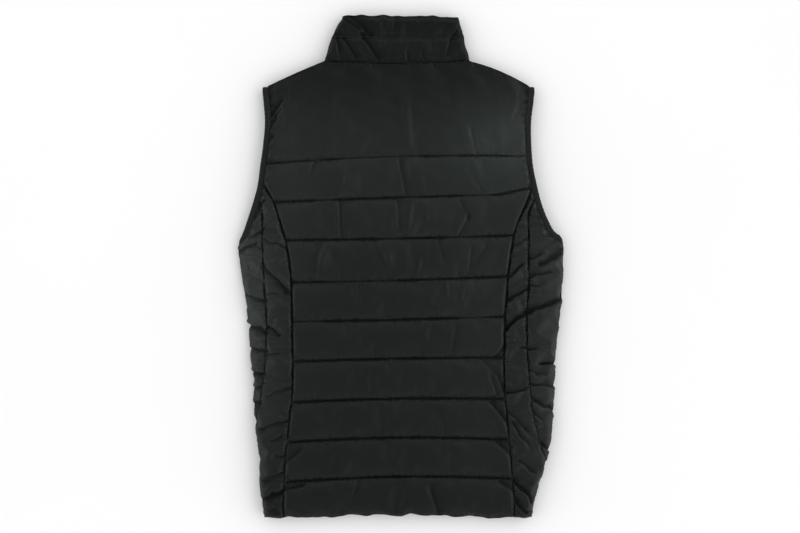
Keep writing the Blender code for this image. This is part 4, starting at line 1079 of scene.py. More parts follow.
def make_thread():
    """Twisted polyester thread."""
    made, tree, shader = new_finish("sewing_thread", Specular_IOR_Level=0.4)
    twist = noise_of(tree, place_of(tree, "Object"), 0.0006, 2.0)
    mottle(tree, shader, twist, ((0.010, 0.011, 0.011), (0.022, 0.024, 0.023)), (0.45, 0.6))
    tree.links.new(bump(tree, twist, 0.0002), shader.inputs["Normal"])
    return made


def make_plastic():
    """Moulded black acetal of the zip's teeth."""
    made, tree, shader = new_finish("zip_teeth_plastic", Specular_IOR_Level=0.5)
    flow = noise_of(tree, place_of(tree, "Object"), 0.003, 2.0)
    mottle(tree, shader, flow, ((0.010, 0.010, 0.011), (0.016, 0.016, 0.017)), (0.28, 0.42))
    tree.links.new(bump(tree, flow, 0.00006), shader.inputs["Normal"])
    return made


def make_enamel():
    """Black enamel on cast metal, rubbed thin in places."""
    made, tree, shader = new_finish("slider_metal", Specular_IOR_Level=0.5, Coat_Weight=0.4,
                                    Coat_Roughness=0.2)
    place = place_of(tree, "Object")
    rub = math_node(tree, "POWER", noise_of(tree, place, 0.002, 4.0), 3.0)
    mottle(tree, shader, rub, ((0.022, 0.022, 0.024), (0.060, 0.060, 0.062)), (0.30, 0.55))
    tree.links.new(bump(tree, noise_of(tree, place, 0.001, 3.0), 0.00004), shader.inputs["Normal"])
    return made


def make_floor_finish():
    """Plain pale floor."""
    made, tree, shader = new_finish("floor_paint", Specular_IOR_Level=0.2)
    tone = noise_of(tree, place_of(tree, "Object"), 0.4, 2.0)
    mottle(tree, shader, tone, ((0.91, 0.91, 0.91), (0.94, 0.94, 0.94)), (0.75, 0.85))
    return made


SHELL = make_shell_fabric()
BINDING = make_tape("binding_tape", (0.0075, 0.0090, 0.0086), (0.0110, 0.0130, 0.0125), 0.0005, 0.62)
ZIP_TAPE = make_tape("zip_tape", (0.008, 0.008, 0.009), (0.014, 0.014, 0.015), 0.0006, 0.7)
THREAD = make_thread()
PLASTIC = make_plastic()
ENAMEL = make_enamel()


# ---------------------------------------------------------------- centre back
def back_share(column):
    """Share of the width at a column: partly eased, so that columns crowd at the side seams."""
    even_share = np.asarray(column) / BACK_COLUMNS
    return lerp(even_share, ease(even_share), BACK_CROWDING)


def neck_seam_at(across):
    """Height of the back neck seam."""
    width = COLLAR_BASE_HALF.left + COLLAR_BASE_HALF.right
    return quadratic(NECK_SEAM, np.clip((across + COLLAR_BASE_HALF.left) / width, 0.0, 1.0))


def shoulder_point(side, share):
    """Distance from the centre line and height along the shoulder seam, from its tip: a straight
    line, and a parabola for its arch."""
    across = lerp(of_side(SHOULDER_TIP, side), of_side(SHOULDER_NECK, side), share)
    arch = of_side(SHOULDER_ARCH, side) * 4.0 * share * (1.0 - share)
    return across, lerp(SHOULDER_TIP.height, SHOULDER_NECK.height, share) + arch


def top_edge(share):
    """Shoulder, neck and shoulder of the centre back: across and height at shares of the width."""
    first, last = back_share(LEFT_NECK_COLUMN), back_share(RIGHT_NECK_COLUMN)
    left, left_height = shoulder_point(LEFT, np.clip(share / first, 0.0, 1.0))
    right, right_height = shoulder_point(RIGHT, np.clip((1.0 - share) / (1.0 - last), 0.0, 1.0))
    neck = lerp(-SHOULDER_NECK.left, SHOULDER_NECK.right, (share - first) / (last - first))
    places = [share <= first, share >= last]
    across = np.select(places, [-left, right], neck)
    return across, np.select(places, [left_height, right_height], neck_seam_at(neck) - NECK_GAP)


def back_grid():
    """Across and height of the centre back's grid, row by row up each channel, and the heights
    of the stitches below and above each point."""
    share = back_share(np.arange(BACK_COLUMNS + 1))
    top_across, top_height = top_edge(share)
    borders = [line_height(line, share) for line in range(LAST_LINE + 1)] + [top_height]
    grids = []
    for channel, (below, above) in enumerate(zip(borders[:-1], borders[1:])):
        steps = YOKE_ROWS if channel == LAST_LINE else CHANNEL_ROWS
        up = ease(np.arange(0 if channel == 0 else 1, steps + 1) / steps)[:, None]
        height = lerp(below, above, up)
        left, right = -centre_edge(LEFT, height[:, :1]), centre_edge(RIGHT, height[:, -1:])
        across = lerp(left, right, share)
        if channel == LAST_LINE:
            across = across + up * up * (top_across - lerp(top_across[0], top_across[-1], share))
        grids.append([across, height, np.broadcast_to(below, height.shape),
                      np.broadcast_to(above, height.shape)])
    return [np.concatenate(parts) for parts in zip(*grids)]


def back_low(across, height, from_seam):
    """Thickness at the stitches of the centre back: uneven along its lines, thinnest under the
    armhole tape, and thicker beside the curved seams low down."""
    thin = np.clip(smooth_noise(12, across, height * 0.6, size=60.0), 0.0, 1.2)
    low = QUILT_LOFT + QUILT_UNEVEN * thin * step(*QUILT_UNEVEN_FROM, height)
    low[[0, -1]] = SEAM_LOFT
    at_edge = np.where(height[:, :1] > TAPED_FROM, TAPED_LOFT, QUILT_LOFT)
    low = np.where(from_seam < 1.0, np.minimum(low, at_edge), low)
    by_seam = np.exp(-((from_seam / SEAM_RISE_REACH) ** 2)) * step(0.0, 12.0, height)
    return low + seam_rise(height) * by_seam


def yoke_fall(across, height):
    """How much lower the yoke lies than its crown: toward its sides, and toward the neck."""
    foot = QUILT_LINES[-1].centre
    up = np.clip((height - foot) / (NECK_SEAM.centre - foot), 0.0, 1.0)
    fall = np.where(across < 0, YOKE_FALL.left, YOKE_FALL.right)
    aside = fall * np.clip(np.abs(across) / YOKE_HALF, 0.0, 1.0) ** 2
    return aside * np.sin(np.pi * up) + YOKE_NECK_FALL * step(0.0, 1.0, up)


def shape_back_centre():
    """Yoke and nine channels. The padding rises from each line of stitches as a quarter round."""
    across, height, below, above = back_grid()
    from_below, from_above = height - below, above - height
    from_left, from_right = across - across[:, :1], across[:, -1:] - across
    from_line, from_seam = np.minimum(from_below, from_above), np.minimum(from_left, from_right)
    in_yoke = np.arange(len(height))[:, None] > LAST_LINE * CHANNEL_ROWS
    columns = np.arange(BACK_COLUMNS + 1)
    on_shoulder = in_yoke & ((columns < LEFT_NECK_COLUMN) | (columns > RIGHT_NECK_COLUMN))
    closing = lerp(SEAM_GAP / 2, LAYER_GAP, step(0.0, SHOULDER_CLOSING, from_above))
    gap = np.where(on_shoulder, closing, LAYER_GAP)
    rise = (
        swell(from_below, QUILT_REACH)
        * swell(from_above, np.where(in_yoke, YOKE_REACH, QUILT_REACH))
        * swell(from_left, STITCHED_REACH)
        * swell(from_right, STITCHED_REACH)
    )
    crown = lerp(CROWN, TOP_CROWN, step(THINNING[0], LENGTH, height)) - PUFF
    low = back_low(across, height, from_seam)
    loft = lerp(low, crown, rise)
    loft += rise * UNEVEN * smooth_noise(11, across, height, size=34.0)
    loft = np.maximum(loft - rise * yoke_fall(across, height), low)
    middle = middle_at(height)
    flat = np.stack([across, height], axis=-1)
    outer = np.stack([across, height - LENGTH / 2, middle + gap + loft], axis=-1)
    inner = np.stack([across, height - LENGTH / 2, middle + gap], axis=-1)
    hold = np.full(height.shape, BACK_HOLD)
    hold[from_line < 0.01] = 1.0
    hold[:, [0, -1]] = 1.0
    return flat, outer, inner, hold, np.stack([from_line, from_seam], axis=-1)


def crease_back(across, height, near):
    """Depth of the fine creases of the centre back: upright crinkles in patches, puckers that fade away
    from the stitches, level ones beside the seams, and the listed wrinkles."""
    from_line, from_seam = near[..., 0], near[..., 1]
    patches = step(-0.2, 1.6, smooth_noise(81, across, height, size=70.0))
    pressed = BACK_CRINKLE * patches * crinkles(82, across, height * 0.3, size=17.0, narrow=0.4)
    puckers = crinkles(83, across, height * 0.4, size=9.0, narrow=0.8)
    pressed += LINE_PUCKER * np.exp(-from_line / LINE_REACH) * puckers
    puckers = crinkles(84, across * 0.4, height, size=11.0, narrow=0.8)
    pressed += SEAM_PUCKER * np.exp(-from_seam / SEAM_PUCKER_REACH) * puckers
    for wrinkle in BACK_WRINKLES:
        wider = WRINKLE_BREADTH if wrinkle.depth > 0 else RIDGE_BREADTH
        soft = wrinkle._replace(breadth=wrinkle.breadth * wider)
        pressed += BACK_WRINKLE * trough(across, height, soft)
    return pressed * step(0.0, BACK_SEWN, np.minimum(from_line, from_seam))


# ---------------------------------------------------------------- side panels and fronts
def seam_rise(height):
    """How much shallower a seam's groove is at a height."""
    return SEAM_RISE * (1.0 - step(*SEAM_RISE_FROM, height))


def panel_loft(grid, edges, crown, reach):
    """Thickness that swells from each edge's low value to the crown within a reach, and the
    distance to the nearest edge."""
    loft = np.broadcast_to(crown, grid.shape[:-1]).copy()
    near = np.full(loft.shape, np.inf)
    least = min(np.min(low) for low, _ in edges)
    for low, points in edges:
        away = distance_to(grid, points)
        near = np.minimum(near, away)
        loft *= lerp(low / crown, 1.0, swell(away, reach))
    return np.maximum(loft, least), near


def hem_line(start, end, share, rise=0.0):
    """Points of the hem at shares between two ways round, rising toward the end with an ease."""
    return np.stack([lerp(start, end, share), rise * ease(share)], axis=-1)


def shape_panel(side, grid, edges, crown):
    """Panel of the tube, held at its edges."""
    way, height = grid[..., 0], grid[..., 1]
    loft, near = panel_loft(grid, edges, crown, STITCHED_REACH)
    full = np.clip((loft - SEAM_LOFT) / 3.0, 0.0, 1.0)
    loft += full * SIDE_UNEVEN * smooth_noise(21 + side, way, height, size=26.0)
    loft = kept_in_outline(side, way, height, loft)
    outer = sag(side, spot(side, way, height, LAYER_GAP + loft))
    inner = sag(side, spot(side, way, height, LAYER_GAP))
    hold = np.full(way.shape, SIDE_HOLD)
    hold[[0, -1]] = hold[:, [0, -1]] = 1.0
    flat = np.stack([side * way, height], axis=-1)
    return flat, outer, inner, hold, near[..., None]


def crease_side(side, across, height, near):
    """Depth of the fine creases of a side panel: level crinkles in patches, puckers that fade away from
    the seams, and the listed creases, where they are the deepest."""
    way, from_seam = side * across, near[..., 0]
    patches = step(-0.8, 1.2, smooth_noise(91 + side, way, height, size=60.0))
    pressed = SIDE_CRINKLE * patches * crinkles(94 + side, way * 0.25, height, size=13.0, narrow=0.45)
    puckers = crinkles(97 + side, way * 0.3, height, size=8.0, narrow=0.7)
    pressed += SEAM_PUCKER * np.exp(-from_seam / SIDE_PUCKER_REACH) * puckers
    bent = 1.2 * smooth_noise(77 + side, way, height, size=22.0)
    placed = deepest(SIDE_CREASES[side], SIDE_CREASE, way, height + bent)
    return (pressed + placed) * step(0.0, SIDE_SEWN, from_seam)


def shape_side_back(side):
    """Narrow panel between the princess seam and the underarm seam."""
    armhole = ARMHOLES[side]
    top = armhole.at(lerp(armhole.princess, armhole.underarm, crowded(SIDE_BACK_COLUMNS)))
    princess = seam_line(princess_at, side, princess_top(side), SIDE_ROWS, SEAM_GAP / 2)
    underarm = seam_line(underarm_at, side, UNDERARM_TOP, SIDE_ROWS, -SEAM_GAP / 2)
    top[0], top[-1] = princess[-1], underarm[-1]
    bottom = hem_line(princess[0, 0], underarm[0, 0], crowded(SIDE_BACK_COLUMNS))
    grid = patch(bottom, top, princess, underarm, crowded)
    seam_loft = SEAM_LOFT + seam_rise(grid[..., 1])
    edges = [(SEAM_LOFT, bottom), (seam_loft, princess), (seam_loft, underarm), (TAPED_LOFT, top)]
    return shape_panel(side, grid, edges, SIDE_CROWN - PUFF / 2)


def shape_side(side):
    """Underarm panel, which wraps round the fold to the side seam."""
    armhole = ARMHOLES[side]
    top = armhole.at(lerp(armhole.underarm, armhole.side_seam, crowded(SIDE_COLUMNS)))
    underarm = seam_line(underarm_at, side, UNDERARM_TOP, SIDE_ROWS, SEAM_GAP / 2)
    side_seam = seam_line(side_seam_at, side, top[-1, 1], SIDE_ROWS, -SEAM_GAP / 2)
    top[0], top[-1] = underarm[-1], side_seam[-1]
    bottom = hem_line(underarm[0, 0], side_seam[0, 0], crowded(SIDE_COLUMNS))
    grid = patch(bottom, top, underarm, side_seam, crowded)
    seam_loft = SEAM_LOFT + seam_rise(grid[..., 1])
    edges = [(SEAM_LOFT, bottom), (seam_loft, underarm), (TAPED_LOFT, top), (SIDE_SEAM_LOFT, side_seam)]
    return shape_panel(side, grid, edges, SIDE_CROWN - PUFF / 2)


def front_neck_at(side, across):
    """Height of the front neck seam: level at the side, lowest at the centre front."""
    share = np.minimum(across / collar_fold(side, 0.0), 1.0)
    return of_side(NECK_SEAM, side) - FRONT_NECK_DROP * (1.0 - share**NECK_BEND)


def front_edges(side):
    """The four edges of a front: hem, shoulder and neck, side seam and armhole, and zip. Also its
    side seam and its armhole alone."""
    armhole = ARMHOLES[side]
    edge = armhole.at(np.linspace(armhole.side_seam, 1.0, FRONT_ARMHOLE_ROWS))
    tip = [way_on_front(side, SHOULDER_TIP.height, of_side(SHOULDER_TIP, side)), SHOULDER_TIP.height]
    side_seam = seam_line(side_seam_at, side, edge[0, 1], FRONT_SIDE_ROWS, SEAM_GAP / 2)
    outer_edge = np.concatenate([side_seam, edge[1:], [tip]])
    shoulder = np.stack(shoulder_point(side, even(FRONT_SHOULDER_COLUMNS)), axis=-1)
    across = lerp(collar_fold(side, 0.0), FRONT_EDGE, even(FRONT_NECK_COLUMNS)[1:])
    neck = np.stack([across, front_neck_at(side, across) - 2 * NECK_GAP], axis=-1)
    top = np.concatenate([shoulder, neck])
    top[:, 0] = way_on_front(side, top[:, 1], top[:, 0])
    closing = way_on_front(side, FRONT_HEM_RISE, FRONT_EDGE)
    bottom = hem_line(outer_edge[0, 0], closing, even(len(top) - 1), FRONT_HEM_RISE)
    height = lerp(FRONT_HEM_RISE, top[-1, 1], even(len(outer_edge) - 1) ** FRONT_ROW_POWER)
    zip_edge = np.stack([way_on_front(side, height, FRONT_EDGE), height], axis=-1)
    return bottom, top, outer_edge, zip_edge, side_seam, edge


def front_groove(side, height):
    """Share of the quilting groove on a front: bells about each line of the back's, carried on."""
    groove = np.zeros(height.shape)
    for line in range(1, LAST_LINE + 1):
        off = np.abs(height - line_height(line, 0.5 + 0.5 * side))
        groove = np.maximum(groove, np.exp(-((off / FRONT_GROOVE_BREADTH) ** 1.2)))
    return groove


def shape_front(side):
    """One front, from the side seam and armhole to the zip, quilted at the back's lines."""
    bottom, top, outer_edge, zip_edge, side_seam, armhole = front_edges(side)
    grid = patch(bottom, top, outer_edge, zip_edge)
    edges = [(SEAM_LOFT, bottom), (SEAM_LOFT, top), (SEAM_LOFT, zip_edge), (TAPED_LOFT, armhole)]
    edges.append((SIDE_SEAM_LOFT, side_seam))
    way, height = grid[..., 0], grid[..., 1]
    loft, from_seam = panel_loft(grid, edges, middle_at(height) - LAYER_GAP, SEAM_REACH)
    groove = front_groove(side, height)
    loft -= FRONT_GROOVE * groove * np.clip((loft - SEAM_LOFT) / 4.0, 0.0, 1.0)
    loft = kept_in_outline(side, way, height, loft)
    on_shoulder = np.arange(way.shape[1]) <= FRONT_SHOULDER_COLUMNS
    closed = np.where(on_shoulder, 1.0 - step(0.0, SHOULDER_CLOSING, top[:, 1] - height), 0.0)
    gap = LAYER_GAP - (LAYER_GAP - SEAM_GAP / 2) * closed
    outer = sag(side, spot(side, way, height, LAYER_GAP + loft))
    inner = sag(side, spot(side, way, height, gap))
    from_line = FRONT_GROOVE_BREADTH * (1.0 - groove) + 0.01
    flat = np.stack([side * way, height], axis=-1)
    return flat, outer, inner, None, np.stack([from_line, from_seam], axis=-1)


def crease_front(side, across, height, near):
    """Depth of the fine creases of a front, which lies on the floor: upright crinkles in patches,
    and puckers that fade away from the quilting lines and the seams."""
    way, from_line, from_seam = side * across, near[..., 0], near[..., 1]
    patches = step(-0.4, 1.4, smooth_noise(101 + side, way, height, size=60.0))
    pressed = BACK_CRINKLE * patches * crinkles(104 + side, way, height * 0.3, size=15.0, narrow=0.5)
    beside = np.clip(from_line / 1.5, 0.0, 1.0) * np.exp(-from_line / FRONT_LINE_REACH)
    puckers = crinkles(107 + side, way, height * 0.4, size=9.0, narrow=0.8)
    pressed += FRONT_PUCKER * beside * puckers
    puckers = crinkles(110 + side, way * 0.4, height, size=11.0, narrow=0.8)
    pressed += SEAM_PUCKER * np.exp(-from_seam / SEAM_PUCKER_REACH) * puckers
    return pressed * step(0.0, FRONT_SEWN, from_seam)


# ---------------------------------------------------------------- collar
def collar_loft(up):
    """Thickness of the collar a share of the way up: thin at its seam, quilting line and top."""
    low = lerp(COLLAR_EDGE_LOFT, COLLAR_CROWN, step(0.0, 0.2, up))
    high = lerp(COLLAR_EDGE_LOFT, COLLAR_CROWN, 1.0 - step(0.85, 1.0, up))
    beside = lerp(COLLAR_QUILT_LOFT, COLLAR_CROWN, step(0.0, 0.12, np.abs(up - COLLAR_QUILT_SHARE)))
    return np.minimum(np.minimum(low, high), beside)


def collar_fold(side, up):
    """Distance from the centre line at which the collar's lining turns to the front."""
    outline = lerp(of_side(COLLAR_BASE_HALF, side), of_side(COLLAR_TOP_HALF, side), up)
    return outline + of_side(COLLAR_SPREAD, side) * 4.0 * up * (1.0 - up) - LAYER_GAP - collar_loft(up)


def collar_half(side, up):
    """Across, turn round the fold, height and seam line of half the collar: even shares of the
    back, half a turn at the fold, and even shares of the front, which drops to the zip."""
    fold = collar_fold(side, up)
    back = fold * np.linspace(0.0, 1.0, COLLAR_BACK_COLUMNS, endpoint=False)
    turning = np.repeat(fold, COLLAR_FOLD_COLUMNS, axis=1)
    front = lerp(fold, FRONT_EDGE, np.linspace(0.0, 1.0, COLLAR_FRONT_COLUMNS + 1))
    across = np.concatenate([back, turning, front], axis=1)
    turn = np.zeros(across.shape)
    stop = COLLAR_BACK_COLUMNS + COLLAR_FOLD_COLUMNS
    turn[:, COLLAR_BACK_COLUMNS:stop] = np.linspace(0.0, np.pi, COLLAR_FOLD_COLUMNS, endpoint=False)
    turn[:, stop:] = np.pi
    share = across / fold
    drop = np.where(turn == np.pi, FRONT_NECK_DROP * (1.0 - share**NECK_BEND), 0.0)
    seam = quadratic(NECK_SEAM, 0.5 + 0.5 * side * share)
    top = quadratic(COLLAR_TOP, 0.5 + 0.5 * side * share)
    seam = np.where(turn == np.pi, of_side(NECK_SEAM, side) - drop, seam)
    top = np.where(turn == np.pi, of_side(COLLAR_TOP, side) - drop, top)
    return side * across, turn, seam, top


def shape_collar():
    """Stand collar: one wall from the left front edge round the back to the right front edge."""
    steps = ease(even(COLLAR_CHANNEL_ROWS))
    up = np.concatenate([COLLAR_QUILT_SHARE * steps, lerp(COLLAR_QUILT_SHARE, 1.0, steps[1:])])[:, None]
    halves = [collar_half(side, up) for side in (LEFT, RIGHT)]
    across, turn, seam, top = [
        np.concatenate([left[:, :0:-1], right], axis=1) for left, right in zip(*halves)
    ]
    side = np.sign(np.arange(across.shape[1]) - across.shape[1] // 2 + 0.5)
    height = lerp(seam, top, up)
    room = np.minimum(step(0.0, 0.12, up), 1.0 - step(0.9, 1.0, up))
    loft = collar_loft(up) + room * UNEVEN * smooth_noise(31, across + 200.0 * turn, height, size=22.0)
    loft = np.maximum(loft, LEAST_COLLAR_LOFT)
    sheets = []
    for reach in (LAYER_GAP + loft, np.full(loft.shape, LAYER_GAP)):
        over_floor = np.maximum(middle_at(LENGTH) + reach * np.cos(turn), 0.0)
        place = [across + side * reach * np.sin(turn), height - LENGTH / 2, over_floor]
        sheets.append(np.stack(place, axis=-1))
    outer, inner = sheets
    hold = np.full(loft.shape, COLLAR_HOLD)
    hold[[0, COLLAR_CHANNEL_ROWS, -1]] = hold[:, [0, -1]] = 1.0
    runs = np.hypot(np.diff(outer[..., 0], axis=1), np.diff(outer[..., 2], axis=1))
    along = np.cumsum(np.concatenate([np.zeros((len(up), 1)), runs], axis=1), axis=1)
    from_line = COLLAR_TALL * np.minimum(np.minimum(up, 1.0 - up), np.abs(up - COLLAR_QUILT_SHARE))
    near = np.stack(np.broadcast_arrays(from_line, turn, across, seam, top), axis=-1)
    return np.stack([along, height], axis=-1), outer, inner, hold, near


def crease_collar(along, height, near):
    """Depth of the fine creases of the collar: upright crinkles, puckers by its stitches, and the listed
    folds on its back."""
    from_line, turn, across, seam, top = np.moveaxis(near, -1, 0)
    pressed = BACK_CRINKLE * crinkles(121, along, height * 0.4, size=15.0, narrow=0.5)
    puckers = crinkles(122, along, height * 0.5, size=8.0, narrow=0.8)
    pressed += COLLAR_PUCKER * np.exp(-from_line / COLLAR_LINE_REACH) * puckers
    folds = []
    for crease in COLLAR_CREASES:
        start, end = lerp(seam, top, crease.from_height), lerp(seam, top, crease.to_height)
        folds.append(crease._replace(from_height=start, to_height=end))
    on_back = 1.0 - step(0.0, 0.4, turn)
    placed = deepest(folds, COLLAR_CREASE * on_back, across, height)
    return (pressed + placed) * step(0.0, COLLAR_SEWN, from_line)


# ---------------------------------------------------------------- armhole binding
def squared(wave):
    """A sine or cosine, with its size to a power that squares a round section off."""
    return np.sign(wave) * np.abs(wave) ** BINDING_SQUARENESS


def shape_binding(side):
    """Folded tape round the armhole: a rounded section carried along the armhole edge, and half a
    turn round the shoulder seam. Returns the points by section and angle."""
    armhole = ARMHOLES[side]
    share = np.linspace(0.0, 1.0, BINDING_SECTIONS)[:, None]
    angle = np.linspace(0.0, 2.0 * np.pi, BINDING_SIDES, endpoint=False)
    sideways, proud = squared(np.cos(angle)), BINDING_HALF_THICKNESS * squared(np.sin(angle))
    out = BINDING_HALF_WIDTH * (1.0 + sideways) - BINDING_LAP
    wave = np.sin(share * RIPPLE_TURNS + 3.0 * np.sin(share * 47.0))
    ripple = BINDING_RIPPLE * wave * np.maximum(sideways, 0.0)
    edge, outward = armhole.at(share), armhole.outward(share)
    way, height = np.moveaxis(edge + outward * (out + ripple)[..., None], -1, 0)
    reach = BINDING_REACH + proud
    body = sag(side, spot(side, way, height, reach))
    turn = np.pi * np.arange(1, BINDING_TURN + 1)[:, None] / (BINDING_TURN + 1)
    tip_way, tip_height = armhole.at(0.0)
    over = tip_height - LENGTH / 2 + BINDING_TIP * reach * np.sin(turn)
    round_tip = [side * (tip_way + out), over, middle_at(tip_height) - reach * np.cos(turn)]
    return np.concatenate([body, np.stack(np.broadcast_arrays(*round_tip), axis=-1)])


def make_bindings():
    """Both bindings, each a closed ring. Returns the lines of their stitches: points and outward
    directions."""
    tapes = []
    for side, word in SIDE_NAMES:
        sections = shape_binding(side)
        middle = sections.mean(axis=1)
        steps = np.linalg.norm(np.roll(middle, -1, axis=0) - middle, axis=1)
        points = sections.reshape(-1, 3)
        faces = facing_out(points, carried_faces(len(sections), BINDING_SIDES, closed=True))
        tape = make_object(f"armhole_binding_{word}_tape", points, [faces], BINDING,
                           carried_uv(sections, steps))
        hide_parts(f"armhole_binding_{word}")
        path = sections[:BINDING_SECTIONS, BINDING_STITCHED].mean(axis=1)
        tapes.append(np.concatenate([path, unit(path - middle[:BINDING_SECTIONS])], axis=1))
    return tapes


# ---------------------------------------------------------------- stitches and teeth
def bead_shape():
    """Unit bead along X from -0.5 to 0.5: rings of a circle whose radius follows the root of one
    less a fourth power, and closed at both ends. Returns points and quads."""
    along = np.linspace(-0.5, 0.5, BEAD_RINGS + 1)[:, None]
    radius = np.sqrt(np.clip(1.0 - (2.0 * along) ** 4, 0.0, 1.0)) * 0.5 + 0.02
    turn = np.linspace(0.0, 2.0 * np.pi, BEAD_SIDES, endpoint=False)
    points = np.stack(np.broadcast_arrays(along, radius * np.cos(turn), radius * np.sin(turn)), axis=-1)
    rings = np.arange((BEAD_RINGS + 1) * BEAD_SIDES).reshape(BEAD_RINGS + 1, BEAD_SIDES)
    skin = carried_faces(BEAD_RINGS + 1, BEAD_SIDES, closed=False)
    return points.reshape(-1, 3), np.concatenate([skin, cap(rings[0])[:, ::-1], cap(rings[-1])])


def make_beads(name, starts, ends, ups, width, height, finish):
    """One mesh of beads, each from a start to an end, with its height along an up direction."""
    shape, faces = bead_shape()
    along = ends - starts
    sideways = unit(np.cross(ups, along))
    ups = unit(np.cross(along, sideways))
    middle = 0.5 * (starts + ends)
    points = (
        middle[:, None]
        + shape[None, :, :1] * along[:, None]
        + shape[None, :, 1:2] * sideways[:, None] * width
        + shape[None, :, 2:] * ups[:, None] * height
    ).reshape(-1, 3)
    copies = np.arange(len(starts))[:, None, None] * len(shape)
    all_faces = (faces[None] + copies).reshape(-1, 4)
    return make_object(name, points, [facing_out(points, all_faces)], finish)


def along_path(path, pitch, length):
    """Starts and ends of stitches at an even pitch along a line of rows that begin with a point;
    the rest of a row is carried along."""
    runs = np.linalg.norm(np.diff(path[:, :3], axis=0), axis=1)
    knots = np.concatenate([[0.0], np.cumsum(runs)])
    firsts = np.arange(pitch * 0.5, knots[-1] - length, pitch)
    ends = []
    for stops in (firsts, firsts + length):
        ends.append(np.stack([np.interp(stops, knots, column) for column in path.T], axis=-1))
    return ends


def make_stitches(name, lines):
    """One mesh of the stitches along lines, whose rows are a point and an outward direction."""
    raised = [line + np.pad(line[:, 3:] * THREAD_HEIGHT * 0.3, ((0, 0), (0, 3))) for line in lines]
    pairs = [along_path(line, STITCH_PITCH, STITCH_LENGTH) for line in raised]
    starts, ends = [np.concatenate(parts) for parts in zip(*pairs)]
    return make_beads(name, starts[:, :3], ends[:, :3], starts[:, 3:], THREAD_WIDTH, THREAD_HEIGHT, THREAD)


# ---------------------------------------------------------------- zip
def shape_zip_tape(side):
    """Zip tape: flat where it is sewn under the front's edge, with a round bead that holds the
    teeth. The section is carried up the centre front and waves a little."""
    height = np.linspace(ZIP_FROM, ZIP_TO, ZIP_ROWS)[:, None]
    across = np.concatenate([TAPE_SECTION_ACROSS, TAPE_SECTION_ACROSS[::-1]])
    proud = np.concatenate([TAPE_SECTION_PROUD, TAPE_SECTION_UNDER[::-1]])
    wave = 0.12 * np.sin(height / 23.0 + side) + 0.08 * np.sin(height / 9.0)
    up = middle_at(height) - ZIP_DROP + proud + wave * (across > TAPE_STIFF_TO)
    return np.stack(np.broadcast_arrays(side * across, height - LENGTH / 2, up), axis=-1)


def make_zip_tape(side, word):
    """One tape, closed at both ends, with its UV map round and along it."""
    sections = shape_zip_tape(side)
    rings = np.arange(sections.shape[0] * sections.shape[1]).reshape(sections.shape[:2])
    skin = carried_faces(*rings.shape, closed=False)
    faces = np.concatenate([skin, cap(rings[0])[:, ::-1], cap(rings[-1])])
    points = sections.reshape(-1, 3)
    steps = np.linalg.norm(np.diff(sections.mean(axis=1), axis=0), axis=1)
    tape = make_object(f"zip_tape_{word}", points, [facing_out(points, faces)], ZIP_TAPE,
                       carried_uv(sections, steps))
    return tape


def make_zip():
    """Two woven tapes and a closed chain of moulded teeth."""
    left_tape, _ = [make_zip_tape(side, word) for side, word in SIDE_NAMES]
    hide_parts("zip")
    heights = np.arange(ZIP_FROM + TOOTH_PITCH, ZIP_TO - TOOTH_PITCH, TOOTH_PITCH / 2)
    side = np.where(np.arange(len(heights)) % 2 == 0, LEFT, RIGHT)
    middle = middle_at(heights) - ZIP_DROP
    starts = np.stack([side * TOOTH_FROM, heights - LENGTH / 2, middle], axis=-1)
    ends = np.stack([side * TOOTH_TO, heights - LENGTH / 2, middle], axis=-1)
    ups = np.tile([0.0, 0.0, 1.0], (len(heights), 1))
    teeth = make_beads("zip_teeth", starts, ends, ups, TOOTH_WIDTH, TOOTH_HEIGHT, PLASTIC)


def dress_metal():
    """Slider and pull tab keep their own shape."""
    for name in ("zip_slider", "zip_pull_tab"):
        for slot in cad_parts[name].material_slots:
            slot.material = ENAMEL


# ---------------------------------------------------------------- painted shade of the creases
def stitched_painted_shade(from_stitches):
    """Painted shade of the cloth beside its stitches: a bell of the distance to them."""
    return STITCHED_PAINTED_SHADE * np.exp(-((from_stitches / STITCHED_PAINTED_SHADE_REACH) ** 2))


def taped_painted_shade(points):
    """Painted shade of the cloth beside the armhole tape, uneven along it."""
    across, up = points[..., 0], points[..., 1] + LENGTH / 2
    painted = np.zeros(across.shape)
    low, high = TAPED_PAINTED_SHADE_HEIGHTS
    for side in (LEFT, RIGHT):
        edge = ARMHOLES[side].at(ARMHOLES[side].side_seam * even(TAPED_STEPS))
        edge = spot(side, edge[:, 0], edge[:, 1], 5.0)[:, :2] + [0.0, LENGTH / 2]
        close = (side * across > TAPED_PAINTED_SHADE_INSIDE) & (up > low) & (up < high)
        uneven = 1.0 + TAPED_PAINTED_SHADE_UNEVEN * smooth_noise(131, across * 0.4, up, size=7.0)
        reach = np.maximum(TAPED_PAINTED_SHADE_REACH * uneven[close], 1.5)
        away = distance_to(np.stack([across, up], axis=-1)[close], edge)
        painted[close] = TAPED_PAINTED_SHADE * np.exp(-((away / reach) ** 2))
    return painted


def panel_painted_shade(depth, near, points):
    """Painted shade of each point of a panel, 0 to 1: how deep in a crease it is, with its seams and the
    tape's edge.
    """
    return depth / DARKEST_CREASE + stitched_painted_shade(near.min(axis=-1)) + taped_painted_shade(points)


def collar_painted_shade(depth, near, _):
    """The same painted shade of the collar, with painted shade on its sides where they turn under."""
    folded = FOLD_PAINTED_SHADE * np.sin(np.clip(near[..., 1], 0.0, np.pi / 2))
    return COLLAR_CREASE_PAINTED_SHADE * depth / DARKEST_CREASE + stitched_painted_shade(near[..., 0]) + folded


def pressed_in(outer, inner, depth):
    """The outer points moved toward the lining by a depth, with the least loft left."""
    wall_through = outer - inner
    loft = np.linalg.norm(wall_through, axis=-1)
    left = np.maximum(loft - depth, np.minimum(loft, LEAST_LOFT))
    return inner + wall_through * (left / np.maximum(loft, 1e-6))[..., None]


